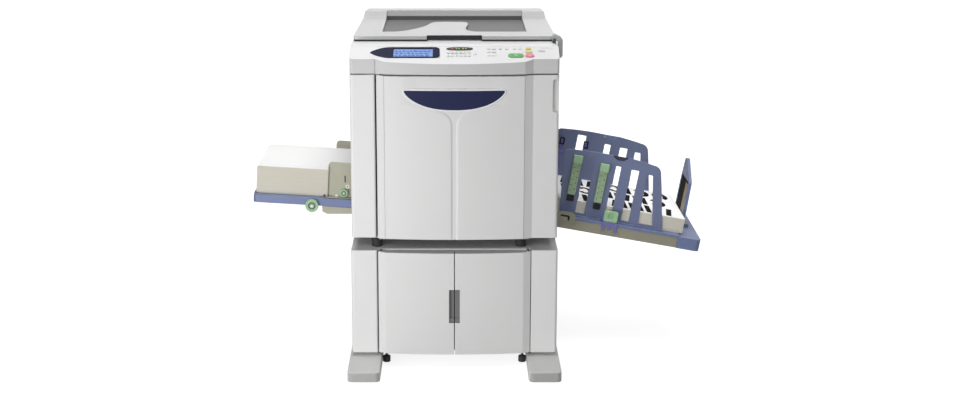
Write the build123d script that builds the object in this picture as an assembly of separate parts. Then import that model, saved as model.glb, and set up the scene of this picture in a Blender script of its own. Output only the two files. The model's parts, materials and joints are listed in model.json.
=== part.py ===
from build123d import *
import math
import os

# Office duplicator on its cabinet stand, with a feed tray on the left and a receiving tray
# on the right. Millimetres. While it is drawn, x = 0 is the middle of the machine, y = 0 is
# the flat face of the front columns and z = 0 is the floor. +x is to the right of someone
# who stands at the control panel, +y is towards the back.

# Machine body
BODY_WIDTH = 627.0
BODY_DEPTH = 640.0
BODY_BOTTOM = 411.0
BODY_TOP = 914.0
PANEL_GAP = 2.5
CORNER_RADIUS = 9.0
SHEET = 4.0

# Front relief, the same on the machine, the scanner table and the cabinet
COLUMN_EDGE = 236.0
RAMP_INNER = 211.0
RAMP_DEPTH = 14.0
FRONT_BOW = 12.0
FRONT_WALL = 4.0
FRONT_DEPTH = 20.0
DOOR_DEPTH = 16.0

# Cabinet stand
CABINET_WIDTH = 634.0
CABINET_BOTTOM = 42.0
CABINET_TOP = 370.0
CABINET_PLATE = 12.0
FOLDED_SHEET = 1.5
FOLD_RIM = 22.0
DOOR_WALL = 2.5
GRIP_HEIGHT = 107.0
GRIP_WIDTH = 16.6
GRIP_BOTTOM = 145.0
GRIP_POCKET = 11.0
GRIP_LINER = 2.0
HINGE_PIN_RADIUS = 2.5
HINGE_PIN_LENGTH = 12.0
HINGE_PLATE = 2.0
PIN_CLEARANCE = 0.05
HINGE_Y = -2.0
HINGE_INSET = 8.5
HINGE_PLATE_HALF = 3.4

# Feet
FOOT_HEIGHT = 31.0
FOOT_WIDTH = 99.0
FOOT_CENTRE = 274.5
FOOT_REACH = 150.0
FOOT_BACK = BODY_DEPTH - 20.0
RUBBER_FOOT_RADIUS = 19.5
RUBBER_FOOT_LEFT = 239.0
RUBBER_FOOT_RIGHT = 205.0
RUBBER_FOOT_FRONT = 55.0
RUBBER_FOOT_REAR = BODY_DEPTH - 55.0
ADJUSTER_INSET = 212.0

# Scanner table, control panel and lid
TABLE_BOTTOM = 918.0
PANEL_FRONT_TOP = 962.0
PANEL_DEPTH = 64.0
DECK_TOP = 991.0
GLASS_THICKNESS = 4.0
GLASS_WIDTH = 450.0
GLASS_FRONT = 205.0
GLASS_LENGTH = 320.0
SCAN_RAIL_RADIUS = 5.0
SCAN_RAIL_INSET = 30.0
SCAN_RAIL_HEIGHT = 16.0
SCAN_CARRIAGE_WIDTH = 44.0
SLIDE_CLEARANCE = 0.08
SCAN_CAVITY_FLOOR = 930.0
KEY_HEIGHT = 3.0
KEY_POCKET = 5.0
KEY_GAP = 0.3
LID_FRONT = 165.0
LID_BOTTOM = DECK_TOP + 2.0
LID_FRONT_TOP = LID_BOTTOM + 14.0
LID_CREASE = BODY_DEPTH - 94.0
LID_CREASE_TOP = LID_BOTTOM + 20.0
LID_RIDGE = BODY_DEPTH - 62.0
LID_TOP = LID_BOTTOM + 42.0
LID_FRONT_HALF = 311.0
LID_REAR_HALF = 290.0
LID_PIN_RADIUS = 4.0
LID_PIN_Z = LID_BOTTOM + 11.0
LID_KNUCKLE = 8.0
LID_EAR = 11.0
WELL_HALF = 226.0
WELL_FRONT = 258.0
WELL_REAR = BODY_DEPTH - 40.0
WELL_FLOOR = LID_BOTTOM + 8.0
TONGUE_REACH = 468.0

# Print drum and the rollers of the paper path, all with their axes front to back
DRUM_RADIUS = 95.0
DRUM_X = -10.0
DRUM_Z = 717.0
DRUM_FRONT = 78.0
DRUM_LENGTH = 365.0
FRAME_FRONT = 45.0
FRAME_REAR = BODY_DEPTH - 44.0
FRAME_PLATE = 4.0
ROLLER_NIP = 0.3
SHAFT_CLEARANCE = 0.05
PRESS_ROLLER_RADIUS = 22.0
PRESS_SHAFT_RADIUS = 6.0
PICKUP_RADIUS = 18.0
PICKUP_X = -215.0
MASTER_RADIUS = 45.0
MASTER_X = 215.0
MASTER_Z = 845.0
RAIL_GAP = 0.4

# Feed side
PAPER_WIDTH = 320.0
PAPER_LENGTH = 432.0
PAPER_FRONT = 165.0
FEED_STACK = 87.0
FEED_TILT = 3.4
FEED_TOP = 493.2
FEED_END = 630.0
TRAY_THICKNESS = 24.0
TRAY_MARGIN = 27.0
GUIDE_SHEET = 2.0
GUIDE_GAP = 0.5
FEED_GUIDE_LENGTH = 84.0
FEED_GUIDE_HEIGHT = 113.0
ARM_WIDTH = 14.0
ARM_REACH = 101.5
DIAL_RADIUS = 21.0
DIAL_X = -446.0
DIAL_Z = 478.0
KNOB_RADIUS = 13.6
KNOB_X = -347.0
KNOB_Z = 512.0
WHEEL_WIDTH = 11.0

# Receiving side
EXIT_TILT = 10.2
EXIT_TOP = 449.7
EXIT_TRAY_THICKNESS = 8.0
EXIT_RAIL_DEPTH = 32.0
END_CAP_LENGTH = 72.0
END_CAP_CORNER = 18.0
PRINT_STACK = 48.0
PRINT_LENGTH = 414.0
WING_SHEET = 3.0
WING_GAP = 1.0
WING_HEIGHT = 212.0
WING_NEAR = 18.0
WING_FAR = 349.0
NOTCH_CENTRE = 174.0
NOTCH_RADIUS = 21.0
ARRANGER_PLACES = (41.5, 128.5)
ARRANGER_TOPS = (192.0, 180.0)
ARRANGER_WIDTH = 25.0
ARRANGER_LENGTH = 124.0
LOCK_PLACE = 177.0
STOP_GAP = 4.0
STOP_PLACE = PRINT_LENGTH + STOP_GAP
STOP_SEAT = 18.0
EXIT_TRAY_LENGTH = STOP_PLACE - STOP_SEAT
STOP_FRONT = 250.0
STOP_REAR = 400.0

# Reaches of the whole, which put the origin under its middle
HALF = BODY_WIDTH / 2
CABINET_HALF = CABINET_WIDTH / 2
LID_PIN_Y = BODY_DEPTH + 12.0
HINGE_BLOCK_BACK = LID_PIN_Y + 12.0


def feed_place():
    """Tray frame of the feed side: its top surface, from the wall outwards to -x."""
    return Pos(-HALF, 0, FEED_TOP) * Rot(0, FEED_TILT, 0)


def exit_place():
    """Tray frame of the receiving side: its top surface, from the wall outwards to +x."""
    return Pos(HALF, 0, EXIT_TOP) * Rot(0, EXIT_TILT, 0)


def block(x0, x1, y0, y1, z0, z1):
    """A straight block between two corners."""
    middle = Pos((x0 + x1) / 2, (y0 + y1) / 2, (z0 + z1) / 2)
    return middle * Box(x1 - x0, y1 - y0, z1 - z0)


def rod(radius, x, z, y0, y1):
    """A round bar that lies front to back."""
    return Pos(x, (y0 + y1) / 2, z) * Rot(90, 0, 0) * Cylinder(radius, y1 - y0)


def post(radius, x, y, z0, z1):
    """A round bar that stands."""
    return Pos(x, y, (z0 + z1) / 2) * Cylinder(radius, z1 - z0)


def front_plate(outline, y0, y1):
    """A plate whose outline is drawn as it is seen from the front."""
    points = [(x, y0, z) for x, z in outline]
    return extrude(make_face(Polyline(*points, close=True)), amount=y1 - y0, dir=(0, 1, 0))


def side_plate(outline, x0, x1):
    """A plate whose outline is drawn as it is seen from the side."""
    points = [(x0, y, z) for y, z in outline]
    return extrude(make_face(Polyline(*points, close=True)), amount=x1 - x0, dir=(1, 0, 0))


def round_upright(solid, radius, middle_y=None):
    """Rounds the upright edges of a block, or only those in front of middle_y."""
    edges = solid.edges().filter_by(Axis.Z)
    if middle_y is not None:
        edges = [edge for edge in edges if edge.center().Y < middle_y]
    return fillet(edges, radius)


def front_solid(half, set_back, back, z0, z1):
    """Full-width body whose front has the columns, the ramps and the bowed middle."""
    radius = max(CORNER_RADIUS - set_back, 1.0)
    side = half - max(set_back, 0.0)
    field = set_back - RAMP_DEPTH
    diagonal = radius * (1 - math.sqrt(0.5))
    left_corner = ThreePointArc(
        (-side, set_back + radius, z0),
        (-side + diagonal, set_back + diagonal, z0),
        (-side + radius, set_back, z0),
    )
    left_ramp = Polyline(
        (-side + radius, set_back, z0), (-COLUMN_EDGE, set_back, z0), (-RAMP_INNER, field, z0)
    )
    bow = ThreePointArc((-RAMP_INNER, field, z0), (0, field - FRONT_BOW, z0), (RAMP_INNER, field, z0))
    right_ramp = Polyline(
        (RAMP_INNER, field, z0), (COLUMN_EDGE, set_back, z0), (side - radius, set_back, z0)
    )
    right_corner = ThreePointArc(
        (side - radius, set_back, z0),
        (side - diagonal, set_back + diagonal, z0),
        (side, set_back + radius, z0),
    )
    rear = Polyline(
        (side, set_back + radius, z0), (side, back, z0), (-side, back, z0),
        (-side, set_back + radius, z0),
    )
    outline = Wire([*left_corner.edges(), *left_ramp.edges(), *bow.edges(),
                    *right_ramp.edges(), *right_corner.edges(), *rear.edges()])
    return extrude(Face(outline), amount=z1 - z0, dir=(0, 0, 1))


def front_skin(half, x0, x1, z0, z1, wall, depth):
    """A tray of even wall, open at the back, with the relief of the front."""
    reach = FRONT_BOW + RAMP_DEPTH + 10
    outer = front_solid(half, 0, depth, z0, z1)
    outer &= block(x0, x1, -reach, depth, z0, z1)
    inner = front_solid(half, wall, depth + 1, z0 + wall, z1 - wall)
    inner &= block(x0 + wall, x1 - wall, -reach, depth + 1, z0 + wall, z1 - wall)
    return outer - inner


def front_layer(outline, outside, inside):
    """The part of the front between two depths that lies inside an outline seen from the front."""
    low = outline.bounding_box().min.Z - 1
    high = outline.bounding_box().max.Z + 1
    layer = front_solid(HALF, outside, 60, low, high) - front_solid(HALF, inside, 61, low, high)
    return layer & outline


def bored(solid, *rods):
    """A solid with holes where rods pass."""
    for bar in rods:
        solid -= bar
    return solid


# Hinge pins of the doors and of the front cover
DOOR_EDGE = COLUMN_EDGE - PANEL_GAP
HINGE_X = DOOR_EDGE - HINGE_INSET
DOOR_BOTTOM = CABINET_BOTTOM + 1.5
DOOR_HEIGHT_TOP = CABINET_TOP - 3.0
COVER_BOTTOM = BODY_BOTTOM - 1.0
COVER_TOP = BODY_TOP - 0.5


def hinge_bracket(x, z, direction, side_reach=0.0):
    """A thin plate over or under a door's edge, with the pin that enters the door."""
    root = z + direction * 0.6
    tip = z - direction * HINGE_PIN_LENGTH
    low, high = sorted((root, root + direction * HINGE_PLATE))
    plate = block(x - HINGE_PLATE_HALF, x + HINGE_PLATE_HALF, HINGE_Y, FRONT_DEPTH + 1, low, high)
    plate += post(HINGE_PLATE_HALF, x, HINGE_Y, low, high)
    if side_reach:
        plate += block(x - side_reach, x, FRONT_DEPTH - 12, FRONT_DEPTH + 1, low, high)
    pin_low, pin_high = sorted((root, tip))
    return plate + post(HINGE_PIN_RADIUS, x, HINGE_Y, pin_low, pin_high)


def hinge_boss(x, z0, z1):
    """The solid corner of a door that takes the pin."""
    return block(x - 4, x + 7, -3, HINGE_Y + 7, z0, z1)


def hinge_bore(x, z0, z1):
    """The hole for a hinge pin."""
    return post(HINGE_PIN_RADIUS + PIN_CLEARANCE, x, HINGE_Y, z0, z1)


def hinged_skin(skin, x, z0, z1):
    """A front tray with a boss and a bore for a pin at its top and at its bottom."""
    depth = HINGE_PIN_LENGTH + 4
    skin += hinge_boss(x, z0 + 1, z0 + depth)
    skin += hinge_boss(x, z1 - depth, z1 - 1)
    skin -= hinge_bore(x, z0 - 1, z0 + HINGE_PIN_LENGTH + 1)
    return skin - hinge_bore(x, z1 - HINGE_PIN_LENGTH - 1, z1 + 1)


# Cabinet stand


def cabinet_sides():
    """The two side panels of the stand."""
    left = block(-CABINET_HALF, -CABINET_HALF + CABINET_PLATE, FRONT_DEPTH, BODY_DEPTH,
                 CABINET_BOTTOM, CABINET_TOP - CABINET_PLATE)
    left -= block(-CABINET_HALF + FOLDED_SHEET, -CABINET_HALF + CABINET_PLATE + 1,
                  FRONT_DEPTH + FOLD_RIM, BODY_DEPTH - FOLD_RIM, CABINET_BOTTOM + FOLD_RIM,
                  CABINET_TOP - CABINET_PLATE - FOLD_RIM)
    return Compound([left, mirror(left, Plane.YZ)])


def cabinet_columns():
    """The fixed columns on both sides of the doors."""
    body = front_solid(CABINET_HALF, 0, FRONT_DEPTH, CABINET_BOTTOM, CABINET_TOP - CABINET_PLATE)
    left = body & block(-CABINET_HALF, -COLUMN_EDGE, -1, FRONT_DEPTH, 0, CABINET_TOP)
    return Compound([left, mirror(left, Plane.YZ)])


def cabinet_top():
    """The top plate, cut back behind the doors."""
    plate = front_solid(CABINET_HALF, 0, BODY_DEPTH, CABINET_TOP - CABINET_PLATE, CABINET_TOP)
    door_room = block(-COLUMN_EDGE, COLUMN_EDGE, -40, FRONT_DEPTH + 1, 0, CABINET_TOP + 1)
    half = CABINET_HALF - CABINET_PLATE - FOLD_RIM
    hollow = block(-half, half, FRONT_DEPTH + FOLD_RIM, BODY_DEPTH - FOLD_RIM,
                   CABINET_TOP - CABINET_PLATE - 1, CABINET_TOP - FOLDED_SHEET)
    return plate - door_room - hollow


def cabinet_back():
    """The back panel."""
    inside = CABINET_HALF - CABINET_PLATE
    return block(-inside, inside, BODY_DEPTH - 8, BODY_DEPTH, CABINET_BOTTOM + CABINET_PLATE,
                 CABINET_TOP - CABINET_PLATE)


def cabinet_floor():
    """The floor panel."""
    inside = CABINET_HALF - CABINET_PLATE
    floor = block(-inside, inside, FRONT_DEPTH + 1, BODY_DEPTH, CABINET_BOTTOM,
                  CABINET_BOTTOM + CABINET_PLATE)
    half = ADJUSTER_INSET - FOLD_RIM
    return floor - block(-half, half, FRONT_DEPTH + 2 * FOLD_RIM, BODY_DEPTH - 3 * FOLD_RIM,
                         CABINET_BOTTOM - 1, CABINET_BOTTOM + CABINET_PLATE - FOLDED_SHEET)


def cabinet_door_left():
    """The left door: a steel tray with the relief of the front and a grip pocket."""
    door = front_skin(CABINET_HALF, -DOOR_EDGE, -PANEL_GAP / 2, DOOR_BOTTOM, DOOR_HEIGHT_TOP,
                      DOOR_WALL, DOOR_DEPTH)
    field = -RAMP_DEPTH - FRONT_BOW
    floor = field + GRIP_POCKET
    top = GRIP_BOTTOM + GRIP_HEIGHT
    door += block(-GRIP_WIDTH - 4, -PANEL_GAP / 2, field + 1, floor + 4, GRIP_BOTTOM - 4, top + 4)
    door -= block(-GRIP_WIDTH, 0, field - 5, floor, GRIP_BOTTOM, top)
    return hinged_skin(door, -HINGE_X, DOOR_BOTTOM, DOOR_HEIGHT_TOP)


def door_grip_left():
    """The grey liner of the grip pocket: a shallow cup with a darker step at its foot."""
    floor = -RAMP_DEPTH - FRONT_BOW + GRIP_POCKET
    mouth = -RAMP_DEPTH - FRONT_BOW + 1.0
    top = GRIP_BOTTOM + GRIP_HEIGHT
    side = -PANEL_GAP / 2
    cup = block(-GRIP_WIDTH, side, mouth, floor, GRIP_BOTTOM, top)
    cup -= block(-GRIP_WIDTH + GRIP_LINER, side + 1, mouth - 1, floor - GRIP_LINER,
                 GRIP_BOTTOM + GRIP_LINER, top - GRIP_LINER)
    return cup + block(-GRIP_WIDTH, side, mouth + 3, floor, GRIP_BOTTOM, GRIP_BOTTOM + 14)


def door_hinges():
    """The brackets and pins that carry both doors."""
    left = [hinge_bracket(-HINGE_X, DOOR_HEIGHT_TOP, 1), hinge_bracket(-HINGE_X, DOOR_BOTTOM, -1)]
    return Compound([*left, *[mirror(piece, Plane.YZ) for piece in left]])


def stabiliser_feet():
    """Two long feet that reach out in front, each with a raised pad under the cabinet."""
    x0 = -FOOT_CENTRE - FOOT_WIDTH / 2
    x1 = -FOOT_CENTRE + FOOT_WIDTH / 2
    foot = round_upright(block(x0, x1, -FOOT_REACH, FOOT_BACK, 0, FOOT_HEIGHT), 16.0, 0)
    foot = fillet(foot.faces().sort_by(Axis.Z)[-1].edges(), 4.0)
    foot += block(x0 + 8, x1 - 14, 25, FOOT_BACK - 20, FOOT_HEIGHT - 1, CABINET_BOTTOM)
    rib = (FOOT_BACK - FOOT_REACH) / 2
    for y0, y1 in ((-FOOT_REACH + 20, rib - 35), (rib + 35, FOOT_BACK - 6)):
        foot -= block(x0 + 6, x1 - 6, y0, y1, -1, FOOT_HEIGHT - 5)
    return Compound([foot, mirror(foot, Plane.YZ)])


def levelling_adjusters():
    """Four screw feet: a pad, a stem and a locking nut under the cabinet floor."""
    pieces = []
    for x in (-ADJUSTER_INSET, ADJUSTER_INSET):
        for y in (FRONT_DEPTH + 14, FOOT_BACK - 30):
            pad = fillet(post(12, x, y, 0, 19).edges().filter_by(GeomType.CIRCLE), 2.0)
            stem = post(4, x, y, 18, CABINET_BOTTOM)
            nut = Pos(x, y, CABINET_BOTTOM - 7) * extrude(RegularPolygon(8, 6), 7)
            pieces.append(pad + stem + nut)
    return Compound(pieces)


# Machine body


def rubber_feet():
    """Four tapered rubber feet between the machine and the cabinet, each with a pale collar."""
    height = BODY_BOTTOM - 2 - CABINET_TOP
    foot = extrude(Circle(RUBBER_FOOT_RADIUS - 4), height - 8, taper=-4)
    foot += Pos(0, 0, height - 8) * Cylinder(RUBBER_FOOT_RADIUS, 8, align=(Align.CENTER,
                                             Align.CENTER, Align.MIN))
    places = [(x, y) for x in (-RUBBER_FOOT_LEFT, RUBBER_FOOT_RIGHT)
              for y in (RUBBER_FOOT_FRONT, RUBBER_FOOT_REAR)]
    return Compound([Pos(x, y, CABINET_TOP) * foot for x, y in places])


def table_rails():
    """Two flat rails on the frame plates that the scanner table slides along."""
    rails = []
    for y in (FRAME_FRONT - 3, FRAME_REAR - 3):
        rails.append(block(-HALF + SHEET + 6, HALF - SHEET - 6, y, y + FRAME_PLATE + 6, BODY_TOP - 6,
                           TABLE_BOTTOM - 0.3))
    return Compound(rails)


def base_pan():
    """The floor pan of the machine."""
    pan = block(-HALF + SHEET, HALF - SHEET, FRONT_DEPTH + 1, BODY_DEPTH, BODY_BOTTOM - 2,
                BODY_BOTTOM + 8)
    half = RUBBER_FOOT_RIGHT - RUBBER_FOOT_RADIUS - 8
    return pan - block(-half, half, FRONT_DEPTH + FOLD_RIM, BODY_DEPTH - FOLD_RIM, BODY_BOTTOM - 3,
                       BODY_BOTTOM + 8 - FOLDED_SHEET)


def front_column():
    """The fixed cover to the left of the front cover."""
    return front_skin(HALF, -HALF, -COLUMN_EDGE, BODY_BOTTOM, BODY_TOP, FRONT_WALL,
                      FRONT_DEPTH)


def cover_hinges():
    """The brackets and pins that carry the front cover."""
    reach = COLUMN_EDGE - HINGE_X + 26
    return Compound([hinge_bracket(-HINGE_X, COVER_TOP, 1, reach),
                     hinge_bracket(-HINGE_X, COVER_BOTTOM, -1)])


TRAY_FRONT = PAPER_FRONT - TRAY_MARGIN
TRAY_REAR = PAPER_FRONT + PAPER_WIDTH + TRAY_MARGIN
FEED_OPENING_BOTTOM = 446.0
FEED_OPENING_TOP = 676.0
BOX_FRONT = 190.0
BOX_REAR = 460.0
BOX_BOTTOM = 692.0
BOX_HEIGHT = 110.0
BOX_TOP = BOX_BOTTOM + BOX_HEIGHT
BOX_INNER = -132.0
EXIT_OPENING_BOTTOM = 440.0
EXIT_OPENING_TOP = 690.0


def side_cover_left():
    """The left cover with its openings for the paper and for the used-master box."""
    cover = block(-HALF, -HALF + SHEET, FRONT_DEPTH + 0.3, BODY_DEPTH, BODY_BOTTOM, BODY_TOP)
    cover -= block(-HALF - 1, -HALF + SHEET + 1, TRAY_FRONT - 8, TRAY_REAR + 8,
                   FEED_OPENING_BOTTOM, FEED_OPENING_TOP)
    return cover - block(-HALF - 1, -HALF + SHEET + 1, BOX_FRONT - 1, BOX_REAR + 1,
                         BOX_BOTTOM - 1, BOX_TOP + 1)


def side_cover_right():
    """The right cover with the opening through which the prints leave."""
    cover = block(HALF - SHEET, HALF, DOOR_DEPTH + 1.5, BODY_DEPTH, BODY_BOTTOM, BODY_TOP)
    cover -= block(HALF - SHEET - 1, HALF + 1, PAPER_FRONT - 15, PAPER_FRONT + PAPER_WIDTH + 15,
                   EXIT_OPENING_BOTTOM, EXIT_OPENING_TOP)
    return cover - power_switch_room(0)


SWITCH_Y = BODY_DEPTH - 65.0
SWITCH_Z = 480.0
SWITCH_HEIGHT = 26.0
SWITCH_WIDTH = 16.0


def power_switch_room(gap):
    """The hole of the rocker switch in the right cover, less a gap all round."""
    return block(HALF - SHEET - 1, HALF + 1, SWITCH_Y - SWITCH_WIDTH / 2 + gap,
                 SWITCH_Y + SWITCH_WIDTH / 2 - gap, SWITCH_Z - SWITCH_HEIGHT / 2 + gap,
                 SWITCH_Z + SWITCH_HEIGHT / 2 - gap)


def power_switch():
    """The rocker, a shallow V that tips about its middle."""
    half = SWITCH_HEIGHT / 2 - 0.8
    outline = [(HALF - SHEET, -half), (HALF + 2.2, -half), (HALF + 0.4, 0), (HALF - 0.6, half),
               (HALF - SHEET, half), (HALF - SHEET - 4, 0)]
    points = [(x, SWITCH_Z + z) for x, z in outline]
    width = SWITCH_WIDTH / 2 - 0.5
    rocker = front_plate(points, SWITCH_Y - width, SWITCH_Y + width)
    return rocker + rod(1.5, HALF - SHEET, SWITCH_Z, SWITCH_Y - width - 0.4, SWITCH_Y + width + 0.4)


INLET_X = -200.0
INLET_Z = 455.0
INLET_WIDTH = 28.0
INLET_HEIGHT = 20.0


def rear_cover():
    """The back cover with ventilation slots and the hole for the mains inlet."""
    cover = block(-HALF, HALF, BODY_DEPTH + 0.3, BODY_DEPTH + SHEET, BODY_BOTTOM, BODY_TOP)
    for row in range(8):
        z = 760.0 + 12.0 * row
        cover -= block(90, 230, BODY_DEPTH - 1, BODY_DEPTH + SHEET + 1, z, z + 5)
    return cover - block(INLET_X - INLET_WIDTH / 2, INLET_X + INLET_WIDTH / 2, BODY_DEPTH - 1,
                         BODY_DEPTH + SHEET + 1, INLET_Z - INLET_HEIGHT / 2,
                         INLET_Z + INLET_HEIGHT / 2)


def power_inlet():
    """The mains inlet: a socket shell with three flat pins and no lead."""
    half_width = INLET_WIDTH / 2 - 0.3
    half_height = INLET_HEIGHT / 2 - 0.3
    mouth = BODY_DEPTH + SHEET
    depth = 18.0
    shell = block(INLET_X - half_width, INLET_X + half_width, mouth - depth, mouth,
                  INLET_Z - half_height, INLET_Z + half_height)
    shell -= block(INLET_X - half_width + 2, INLET_X + half_width - 2, mouth - depth + 3, mouth + 1,
                   INLET_Z - half_height + 2, INLET_Z + half_height - 2)
    for offset, lift in ((-7, -2), (0, 2), (7, -2)):
        shell += block(INLET_X + offset - 1, INLET_X + offset + 1, mouth - depth + 2, mouth - 7,
                       INLET_Z + lift - 2.5, INLET_Z + lift + 2.5)
    return shell


# Frames, drum and rollers inside the machine
BEAM_HALF = 21.0
BEAM_BOTTOM = DRUM_Z + DRUM_RADIUS + 8.0
BEAM_TOP = BEAM_BOTTOM + 32.0
RAIL_TOP = BEAM_TOP - 6.0
RAIL_WIDTH = 14.0
DRUM_PLATE_HALF = 112.0
DRUM_REAR = DRUM_FRONT + DRUM_LENGTH
DRUM_PLATE = 5.0
DRUM_SHAFT_RADIUS = 9.0
PRESS_Z = DRUM_Z - DRUM_RADIUS - ROLLER_NIP - PRESS_ROLLER_RADIUS
MOTOR_X = 236.0
MOTOR_Z = 560.0
MOTOR_RADIUS = 33.0
MOTOR_LENGTH = 74.0
MOTOR_PLATE = 76.0
PULLEY_RADIUS = 10.0
SUCTION_REACH = 62.0
SUPPLY_X = -150.0
SUPPLY_WIDTH = 182.0
SUPPLY_DEPTH = 62.0
SUPPLY_HEIGHT = 97.0
PULLEY_LENGTH = 24.0
FEED_SLOPE = math.tan(math.radians(FEED_TILT))
PICKUP_Z = FEED_TOP + FEED_STACK + (-HALF - PICKUP_X) * FEED_SLOPE + PICKUP_RADIUS + 2.0
TIMING_X = -128.0
TIMING_Z = PRESS_Z + 8.0
INK_RADIUS = 38.0


def shaft_holes(radius, x, z):
    """The holes that a shaft turns in, through both frame plates."""
    return rod(radius + SHAFT_CLEARANCE, x, z, FRAME_FRONT - 1, FRAME_REAR + FRAME_PLATE + 1)


def all_shaft_holes():
    """Holes for every roller that the two frame plates carry."""
    return [
        shaft_holes(PRESS_SHAFT_RADIUS, DRUM_X, PRESS_Z),
        shaft_holes(PRESS_SHAFT_RADIUS, PICKUP_X, PICKUP_Z),
        shaft_holes(PRESS_SHAFT_RADIUS, TIMING_X, TIMING_Z),
        shaft_holes(PRESS_SHAFT_RADIUS, MASTER_X, MASTER_Z),
    ]


def frame_plate(y):
    """A steel plate across the machine, from cover to cover."""
    inside = HALF - SHEET - 0.5
    return block(-inside, inside, y, y + FRAME_PLATE, BODY_BOTTOM + 8, BODY_TOP - 6)


def frame_front():
    """The front frame plate, open where the drum unit slides out."""
    plate = frame_plate(FRAME_FRONT)
    opening = block(DRUM_X - DRUM_PLATE_HALF - 6, DRUM_X + DRUM_PLATE_HALF + 6, FRAME_FRONT - 1,
                    FRAME_FRONT + FRAME_PLATE + 1, DRUM_Z - DRUM_RADIUS - 5, BEAM_TOP + 6)
    plate -= round_along_y(opening, 14.0)
    return bored(plate, *all_shaft_holes())


def round_along_y(solid, radius):
    """Rounds the edges that run front to back."""
    return fillet(solid.edges().filter_by(Axis.Y), radius)


def frame_rear():
    """The rear frame plate, which carries the motor and the ends of all shafts."""
    plate = frame_plate(FRAME_REAR)
    plate -= rod(MOTOR_RADIUS + 1, MOTOR_X, MOTOR_Z, FRAME_REAR - 1, FRAME_REAR + FRAME_PLATE + 1)
    return bored(plate, *all_shaft_holes())


def drum_rails():
    """Two rails under the beam of the drum unit, each with a tab behind the front plate."""
    rails = []
    for side in (-1, 1):
        x0 = DRUM_X + side * (BEAM_HALF + RAIL_GAP)
        x1 = x0 + side * RAIL_WIDTH
        low, high = sorted((x0, x1))
        rail = block(low, high, FRAME_FRONT + 0.3, FRAME_REAR, RAIL_TOP - 18, RAIL_TOP)
        tab = DRUM_X + side * (DRUM_PLATE_HALF + 14)
        rail += block(*sorted((x1, tab)), FRAME_FRONT + FRAME_PLATE + 0.3,
                      FRAME_FRONT + FRAME_PLATE + 12, RAIL_TOP - 16, RAIL_TOP - 4)
        rails.append(rail)
    return Compound(rails)


def drum_carriage():
    """Front and rear plates under a T beam, with the pull handle on the front plate."""
    front_y = FRAME_FRONT + FRAME_PLATE + 14
    plate = round_along_y(block(DRUM_X - DRUM_PLATE_HALF, DRUM_X + DRUM_PLATE_HALF, front_y,
                                front_y + DRUM_PLATE, DRUM_Z - DRUM_RADIUS + 4, BEAM_BOTTOM + 1), 24)
    rear = round_along_y(block(DRUM_X - 70, DRUM_X + 70, DRUM_REAR + 4,
                               DRUM_REAR + 4 + DRUM_PLATE, DRUM_Z - 60, BEAM_BOTTOM + 1), 24)
    web = block(DRUM_X - BEAM_HALF, DRUM_X + BEAM_HALF, front_y, FRAME_REAR - 40, BEAM_BOTTOM,
                BEAM_TOP)
    web -= block(DRUM_X - BEAM_HALF + 4, DRUM_X + BEAM_HALF - 4, front_y + DRUM_PLATE,
                 FRAME_REAR - 39, BEAM_BOTTOM - 1, BEAM_TOP - 4)
    flange = block(DRUM_X - BEAM_HALF - 11, DRUM_X + BEAM_HALF + 11, front_y, FRAME_REAR - 40,
                   RAIL_TOP + RAIL_GAP, BEAM_TOP)
    flange -= block(DRUM_X - BEAM_HALF + 4, DRUM_X + BEAM_HALF - 4, front_y + DRUM_PLATE,
                    FRAME_REAR - 39, BEAM_BOTTOM - 1, BEAM_TOP - 4)
    carriage = plate + rear + web + flange
    carriage -= rod(DRUM_SHAFT_RADIUS + SHAFT_CLEARANCE, DRUM_X, DRUM_Z, DRUM_REAR, DRUM_REAR + 20)
    carriage -= rod(INK_RADIUS + 1, DRUM_X, DRUM_Z, front_y - 1, front_y + DRUM_PLATE + 1)
    return carriage + drum_handle(front_y)


def drum_handle(front_y):
    """A bow handle on two stubs, in the upper part of the front plate."""
    z = DRUM_Z + 76
    reach = 22.0
    grip = Pos(DRUM_X, front_y - reach, z) * Rot(0, 90, 0) * Cylinder(6, 96)
    for side in (-1, 1):
        grip += rod(5, DRUM_X + side * 42, z, front_y - reach, front_y + 1)
    return grip


def print_drum():
    """The ink drum: a hollow cylinder with flanges, and a clamp strip for the master."""
    drum = rod(DRUM_RADIUS, DRUM_X, DRUM_Z, DRUM_FRONT, DRUM_REAR)
    drum -= rod(DRUM_RADIUS - 3, DRUM_X, DRUM_Z, DRUM_FRONT + 6, DRUM_REAR - 6)
    drum -= rod(INK_RADIUS + 2, DRUM_X, DRUM_Z, DRUM_FRONT - 1, DRUM_FRONT + 8)
    drum += rod(DRUM_SHAFT_RADIUS, DRUM_X, DRUM_Z, DRUM_REAR - 6, DRUM_REAR + 4 + DRUM_PLATE)
    top = DRUM_Z + DRUM_RADIUS
    drum -= block(DRUM_X - 14, DRUM_X + 14, DRUM_FRONT + 9, DRUM_REAR - 9, top - 2.5, top + 1)
    clamp = block(DRUM_X - 13, DRUM_X + 13, DRUM_FRONT + 10, DRUM_REAR - 10, top - 6, top - 1.5)
    return drum + clamp


def ink_cartridge():
    """The ink bottle along the drum's axis, with a ribbed cap that shows in front."""
    front_y = FRAME_FRONT + FRAME_PLATE + 6
    bottle = rod(INK_RADIUS - 2, DRUM_X, DRUM_Z, front_y + 7, DRUM_REAR - 60)
    bottle += rod(INK_RADIUS - 14, DRUM_X, DRUM_Z, DRUM_REAR - 60, DRUM_REAR - 40)
    bottle += rod(INK_RADIUS, DRUM_X, DRUM_Z, front_y, front_y + 8)
    bar = round_along_y(block(DRUM_X - 5, DRUM_X + 5, front_y - 14, front_y + 1, DRUM_Z - 26,
                              DRUM_Z + 26), 4)
    return bottle + bar


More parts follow.
